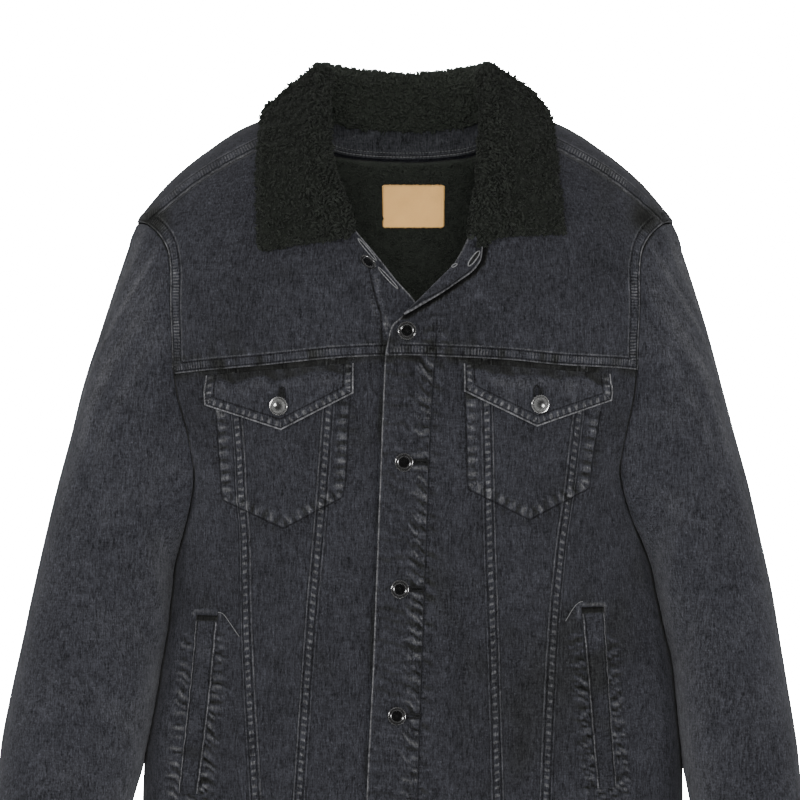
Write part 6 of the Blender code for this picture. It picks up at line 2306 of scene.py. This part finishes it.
def tufts(grid, out, count, seed, length, radius, keep=None):
    """Curled locks of pile scattered over a face, as joined tapering bent cones."""
    rng = np.random.default_rng(seed)
    a = grid[1:, :-1] - grid[:-1, :-1]
    b = grid[:-1, 1:] - grid[:-1, :-1]
    area = np.linalg.norm(np.cross(a, b), axis=-1)
    if keep is not None:
        area = area * keep[:-1, :-1]
    chance = (area / area.sum()).ravel()
    cell = rng.choice(len(chance), count, p=chance)
    i, j = np.unravel_index(cell, area.shape)
    u = rng.random(count)[:, None]
    v = rng.random(count)[:, None]

    def mixed(values):
        top = values[i, j] * (1 - u) + values[i, j + 1] * u
        low = values[i + 1, j] * (1 - u) + values[i + 1, j + 1] * u
        return top * (1 - v) + low * v

    base = mixed(grid)
    normal = unit(mixed(out))
    swirl = np.stack([soft_noise(base, 0.011, seed + k) for k in (1, 2, 3)], axis=-1)
    swirl = swirl + rng.normal(size=(count, 3)) * 0.35
    swirl = unit(swirl - normal * (swirl * normal).sum(axis=-1, keepdims=True))
    side = np.cross(normal, swirl)
    long = length * MM * rng.uniform(0.7, 1.25, (count, 1))
    thick = radius * MM * rng.uniform(0.75, 1.2, (count, 1))
    bend = rng.uniform(0.4, 1.1, (count, 1))
    base = base - normal * 1.2 * MM
    spine = [
        base,
        base + normal * long * 0.42 + swirl * long * 0.12 * bend,
        base + normal * long * 0.72 + swirl * long * 0.45 * bend,
        base + normal * long * (0.86 - 0.25 * bend) + swirl * long * 0.95 * bend,
    ]
    lean = unit(normal - swirl * 0.5)
    rings = []
    for spot, width in zip(spine[:3], TUFT_WIDTHS):
        for k in range(TUFT_SIDES):
            angle = 2 * math.pi * k / TUFT_SIDES
            spoke = side * math.cos(angle) + lean * math.sin(angle)
            rings.append(spot + spoke * thick * width)
    rings.append(spine[3])
    per = len(rings)
    vertices = np.stack(rings, axis=1).reshape(-1, 3)
    faces = (np.arange(count)[:, None, None] * per + tuft_faces()[None]).reshape(-1, 3)
    clump = 0.16 * soft_noise(base, 0.009, seed + 7) + 0.1 * soft_noise(base, 0.004, seed + 8)
    # Painted light on the pile inside the neck.
    clump = clump + neck_inside_light(base + normal * 1.2 * MM, normal)
    tone = np.repeat(rng.uniform(-0.2, 0.25, count) + clump, per).reshape(count, per)
    # Painted shade and highlight: each tuft's root ring is darker and its tip paler.
    tone[:, :3] -= 0.45
    tone[:, 6:] += 0.2
    return vertices, faces, tone.ravel()


def border_strip(face, normal):
    """The face's two ends and its free edge as one band that looks outward."""
    ends = (
        (face[0], unit(face[0] - face[1]), normal[0]),
        (face[:, -1], unit(face[:, -1] - face[:, -2]), normal[:, -1]),
        (face[-1][::-1], unit(face[-1] - face[-2])[::-1], normal[-1][::-1]),
    )
    line, outward, up = (np.concatenate(parts) for parts in zip(*ends))
    band = np.stack([line - up * 4.5 * MM, line - outward * 1.0 * MM], axis=1)
    return band, unit(np.stack([outward - up * 0.3, outward + up * 0.7], axis=1))


def collar():
    core, out = collar_core(NECK_N)
    under, under_out = refined(core, out, COLLAR_UNDER_COLUMNS)
    made = shell(
        "collar_under", under, -under_out, COLLAR_DENIM, ["collar_under"], finish="denim_inside",
        turn_under=2 * MM,
    )
    declare(made, under)
    grid, normal = refined(core, out, COLLAR_TOP_COLUMNS, 1)
    seat = COLLAR_DENIM + 2 * SEAM_GAP
    rounding = np.ones(grid.shape[:2])
    rows, columns = rounding.shape
    near_row = np.minimum(np.arange(rows), np.arange(rows)[::-1])[:, None]
    near_column = np.minimum(np.arange(columns) + 2, np.arange(columns)[::-1])[None]
    rounding *= 1 - 0.55 * np.clip(1 - near_row / 3.0, 0, 1) ** 2
    rounding *= 1 - 0.55 * np.clip(1 - near_column / 3.0, 0, 1) ** 2
    face = grid + normal * (seat + PILE * 0.72 * rounding)[..., None]
    lumps = 0.7 * soft_noise(face, 0.012, 140) + 0.5 * soft_noise(face, 0.006, 141)
    face = face + normal * (lumps * MM)[..., None]
    # The left front's lower corner by the neck hangs below the rest.
    last_rows = np.clip(1 - (rows - 1 - np.arange(rows)) / 9, 0, 1)[:, None]
    face[..., 2] -= 9 * MM * (bell(face[..., 0] / MM - 66, 9) * last_rows)
    # The shade field carries painted light on the pile inside the neck.
    made = shell(
        "collar_top", face, normal, PILE * 0.7, ["collar_top"], finish="pile",
        turn_under=3 * MM, fields={"shade": -0.2 + neck_inside_light(face, normal)},
    )
    standing = np.zeros(face.shape[:2])
    standing[:, :STANDING_COLUMNS] = 1.0
    fringe, fringe_out = border_strip(face, normal)
    for part, (area, area_out, count, seed, length, radius, keep) in {
        "nap": (face, normal, 12500, 150, 3.4, 0.9, None),
        "locks": (face, normal, 8500, 250, 5.6, 1.2, standing + 0.25),
        "fringe": (fringe, fringe_out, 3600, 350, 4.8, 1.2, None),
    }.items():
        vertices, faces, shade = tufts(area, area_out, count, seed, length, radius, keep)
        fields = {"shade": shade}
        add_piece(f"collar_{part}", vertices, faces, "pile", [], fields)
    declare(made, face)
    neck_band(core, out, seat)


# The neck band's rows of stitches: how far above its lower edge, length, pitch and radius (mm).
NECK_STITCHES = ((1.9, 2.4, 3.1, 0.46), (5.6, 1.7, 3.0, 0.26))
NECK_STITCH_MARGIN = 12


def neck_stitches(grid, out, down):
    for up, length, pitch, radius in NECK_STITCHES:
        row = np.interp(down[-1] - up, down, np.arange(len(down)))
        first = int(row)
        path = grid[:, first] * (1 - row + first) + grid[:, first + 1] * (row - first)
        path = path + out[:, first] * 0.25 * MM
        along = lengths_along(path) / MM
        for start in np.arange(NECK_STITCH_MARGIN, along[-1] - NECK_STITCH_MARGIN, pitch):
            at = start + np.linspace(0, length, 4)
            stitch = np.stack([np.interp(at, along, column) for column in path.T], axis=1)
            THREADS["pale_thread"].append(tube(stitch, radius * MM, 5))


def neck_band(core, out, seat):
    middle = len(core) // 2
    reach = 7 * NECK_N
    keep = slice(middle - reach, middle + reach + 1)
    share = np.concatenate([np.linspace(0, 1, 16), np.ones(6)])[None, :, None]
    strip = core[keep, 1][:, None] * (1 - share) + core[keep, 0][:, None] * share
    strip[:, 16:, 2] -= np.linspace(0, 1, 7)[1:][None] * 4.5 * MM
    level = level_out(out[keep, 1])[:, None]
    strip_out = unit(out[keep, 1][:, None] * (1 - share) + level * share)
    depth = seat + 1.4 * MM * share + DENIM
    grid = strip + strip_out * depth
    x = grid[..., 0] / MM
    wave = 1.6 * bell(x + 4, 13) + 1.1 * bell(x - 34, 10)
    rows = np.arange(grid.shape[1])[None]
    grid[..., 2] += wave * MM * np.clip(1 - rows / 6, 0, 1)
    ripple = 0.35 * MM * wavy(x / 3.2, 161) * bell(rows - 15, 4.0)
    grid = grid + strip_out * ripple[..., None]
    down = lengths_along(grid[reach]) / MM
    gap = down[None] + 0 * x
    edge_d = np.where(gap < 1.2, gap, FAR)
    line_d = -np.abs(gap - (down[-1] - 2.2))
    wear_and_shade = 0.3 * bell(gap - 1, 2.0) + 0.05 + 0.1 * wavy(x / 6.0 + gap / 3.0, 163)
    wear_and_shade = wear_and_shade + 0.25 * ease((gap - down[-1] + 9) / 3)
    neck_stitches(grid, strip_out, down)
    lens = bell(x - 2, 18) * bell(gap - 2.0 - 0.6 * wavy(x / 9.0, 165), 1.6)
    wear_and_shade = wear_and_shade + 0.9 * lens
    made = shell(
        "neck_band", grid, strip_out, DENIM, ["neck_band"], finish="denim_inside",
        fields={"edge_d": edge_d, "edge_s": x, "line_d": line_d, "line_s": x, "wear_and_shade": wear_and_shade},
    )
    declare(made, grid)


# ---- lining -----------------------------------------------------------------------------------
LINING_TUFTS = 8500


def ridge(side, count):
    sign = SIDES[side]
    start = np.array([sign * math.pi / 2, NECK_BACK["height"][NECK_RIDGE_ROW] * MM])
    end = np.array([sign * math.pi / 2, SHOULDER_POINT * MM])
    return level_line(start, end, count)


def lining_side(side, face, n=3):
    down = np.linspace(PIT - 14.0, WAIST_SEAM + 3.0, 8 * n * 2 + 1) * MM
    angle = np.full(len(down), SIDES[side] * math.pi / 2)
    return np.vstack([armhole(side, n)[face][:-3 * n], np.stack([angle, down], axis=1)])


def pulled_in(grid, by):
    """The grid with its edges drawn back."""
    grid = grid.copy()
    for edge, inner in ((0, 1), (-1, -2)):
        grid[edge] += unit(grid[inner] - grid[edge]) * by
        grid[:, edge] += unit(grid[:, inner] - grid[:, edge]) * by
    return grid


def lining_shell(name, places, tuft_count=0, keep=None):
    inward = -normal_at(places)
    grid = form_at(places) + inward * (LINING_INSET + LINING)
    grid = pulled_in(grid, 2.5 * MM)
    lumps = 0.6 * soft_noise(grid, 0.02, 170)
    grid = grid + inward * (lumps * MM)[..., None]
    # The shade field carries painted light on the lining inside the neck.
    made = shell(
        name, grid, inward, LINING * 0.9, [name], finish="lining_pile",
        turn_under=3 * MM, fields={"shade": -0.1 + neck_inside_light(grid, inward)},
    )
    extra = []
    if tuft_count:
        vertices, faces, shade = tufts(grid, inward, tuft_count, 180, 3.0, 0.9, keep(grid))
        fields = {"shade": shade}
        extra = [add_piece(f"{name}_pile", vertices, faces, "lining_pile", [], fields)]
    declare(made, grid)
    return made


def lining_front(side):
    right = lining_side(side, "front")
    neck = np.vstack([ridge(side, 1)[:1], neck_front(side, 3)[::-1]])
    rows = LINING_FRONT[side]
    count = len(right) - len(neck)
    z = np.linspace(NECK_FRONT[side]["height"][0], WAIST_SEAM + 3.0, count + 1)[1:]
    left = np.vstack([neck, place(smooth(rows, "height", "x", z), z)])
    columns = 30
    places = patch(left, right, ridge(side, columns), level_line(left[-1], right[-1], columns))
    lining_shell(f"lining_front_{side}", places)


def lining_back():
    left = np.vstack([ridge("L", 6)[:-1], lining_side("L", "back")])
    right = np.vstack([ridge("R", 6)[:-1], lining_side("R", "back")])
    right[:, 0] += 2 * math.pi
    half = neck_back("L", 3)[6:]
    half = np.vstack([left[:1], half[1:]])
    other = half[::-1].copy()
    other[:, 0] = 2 * math.pi - other[:, 0]
    neck = np.vstack([half, other[1:]])
    bottom = level_line(left[-1], right[-1], len(neck) - 1)
    places = patch(left, right, neck, bottom)

    def seen(grid):
        x, z = front_view(grid)
        behind_label = (
            (x > LABEL_BOX["x"][0] + 2) & (x < LABEL_BOX["x"][1] - 2)
            & (z < LABEL_BOX["height"][0] - 2) & (z > LABEL_BOX["height"][1] + 2)
        )
        return ((np.abs(x) < 85) & (z > -190) & ~behind_label).astype(float)

    return lining_shell("lining_back", places, LINING_TUFTS, seen)


LABEL_CELLS = (48, 34)
LABEL_LIFT = 3.6 * MM


def label(backing):
    """A bare tan patch with worn, slightly uneven edges."""
    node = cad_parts["label"]
    centre = np.array([v.co for v in node.data.vertices])
    x0, x1 = centre[:, 0].min(), centre[:, 0].max()
    z0, z1 = centre[:, 2].min(), centre[:, 2].max()
    bpy.context.view_layer.update()
    tree = BVHTree.FromObject(backing, bpy.context.evaluated_depsgraph_get())
    columns, rows = LABEL_CELLS
    u = np.linspace(0, 1, columns)
    v = np.linspace(0, 1, rows)
    grid = np.zeros((rows, columns, 3))
    corner = 1.6 * (np.clip(1 - u * 16, 0, 1) ** 2 + np.clip(1 - (1 - u) * 16, 0, 1) ** 2)
    ragged_top = 0.2 * wavy(u * 60, 191) + 0.15 * wavy(u * 130, 192) + 1.0 - corner
    ragged_low = 0.2 * wavy(u * 55, 193) + 0.15 * wavy(u * 140, 194) + 2.0 + corner
    for r in range(rows):
        for c in range(columns):
            x = x0 + (x1 - x0) * u[c]
            z = z1 - (z1 - z0) * v[r]
            z += (ragged_top[c] * (1 - v[r]) + ragged_low[c] * v[r]) * MM
            notch = math.exp(-(((v[r] - 0.8) / 0.035) ** 2)) * math.exp(-u[c] * 30)
            x += notch * 1.2 * MM
            hit = tree.ray_cast((x, 0, z), (0, 1, 0))
            grid[r, c] = (x, hit[0][1] if hit[0] is not None else 0.1, z)
    # The patch is stiff: it bridges the pile's unevenness.
    depth = grid[..., 1]
    fit_u = (u - 0.5)[None] + 0 * depth
    fit_v = (v - 0.5)[:, None] + 0 * depth
    terms = [np.ones_like(depth), fit_u, fit_v, fit_u**2, fit_v**2, fit_u * fit_v]
    basis = np.stack(terms, axis=-1)
    solved, *_ = np.linalg.lstsq(basis.reshape(-1, 6), depth.ravel(), rcond=None)
    grid[..., 1] = basis @ solved - LABEL_LIFT
    corner_curl = 0.8 * np.abs(fit_u * 2) ** 4 * np.abs(fit_v * 2) ** 4
    curl = corner_curl + 0.25 * wavy(fit_u * 14 + fit_v * 9, 195)
    grid[..., 1] -= curl * MM
    out = grid_normals(grid)
    out *= -np.sign(out[..., 1:2])
    from_side = np.minimum(u, 1 - u)[None] * ((x1 - x0) / MM)
    from_end = np.minimum(v, 1 - v)[:, None] * ((z1 - z0) / MM)
    gap = np.minimum(from_side, from_end)
    made = shell(
        "label", grid, out, 0.8 * MM, ["label"], finish="label", turn_under=1 * MM,
        fields={"edge_d": gap},
    )
    declare(made, grid)


# ---- stage ------------------------------------------------------------------------------------
WORLD_LIGHT = 1.28
# Each lamp's name, place (m), diameter (m), power (W), and whether the metal mirrors it.
LAMPS = (
    ("front", (0.0, -3.9, 0.25), 1.6, 128.0, False),
    ("left", (-3.0, -2.6, 0.1), 1.0, 66.0, True),
    ("right", (2.8, -2.6, -1.0), 1.1, 71.0, True),
    ("back", (0.5, 3.7, 1.7), 1.5, 115.0, False),
)
LAMP_AIM = (0.0, 0.0, -0.3)
CAMERA_PLACE = (-0.0045, -4.0, -0.225)


def stage():
    bpy.ops.mesh.primitive_plane_add(size=14, location=(0, 0, -1.25))
    floor = bpy.context.object
    floor.name = "studio_floor"
    floor.data.materials.append(MATERIALS["studio_floor"])
    floor.visible_glossy = False
    world = bpy.data.worlds.new("studio")
    world.use_nodes = True
    background = world.node_tree.nodes["Background"]
    set_inputs(background, {"Color": (1.0, 1.0, 1.0, 1.0), "Strength": WORLD_LIGHT})
    world.cycles_visibility.glossy = False
    bpy.context.scene.world = world
    bpy.ops.mesh.primitive_plane_add(size=8, location=(0, 9.0, 0.6), rotation=(math.pi / 2, 0, 0))
    backdrop = bpy.context.object
    backdrop.name = "studio_backdrop"
    backdrop.data.materials.append(MATERIALS["studio_backdrop"])
    backdrop.visible_diffuse = False
    backdrop.visible_glossy = False
    for name, spot, size, power, mirrored_in_metal in LAMPS:
        lamp = bpy.data.lights.new(name, "AREA")
        lamp.shape = "DISK"
        lamp.size = size
        lamp.energy = power
        made = bpy.data.objects.new(name, lamp)
        made.location = spot
        made.visible_glossy = mirrored_in_metal
        made.visible_camera = False
        bpy.context.scene.collection.objects.link(made)
        aim = np.array(LAMP_AIM) - np.array(spot)
        made.rotation_mode = "QUATERNION"
        made.rotation_quaternion = Vector(aim).to_track_quat("-Z", "Y")
    camera_data = bpy.data.cameras.new("camera")
    camera_data.lens = 200.0
    camera_data.sensor_width = 36.0
    camera = bpy.data.objects.new("camera", camera_data)
    camera.location = CAMERA_PLACE
    camera.rotation_euler = (math.pi / 2, 0, 0)
    bpy.context.scene.collection.objects.link(camera)
    bpy.context.scene.camera = camera


def main():
    make_materials()
    for side in SIDES:
        front_yoke(side)
        grids = front_panels(side, sleeves(side))
        flap(side)
        welt(side)
    back_yoke()
    back_panels()
    waistband()
    facing()
    front_buttons(grids["placket"])
    collar()
    for side in SIDES:
        lining_front(side)
    label(lining_back())
    threads()
    stage()


main()
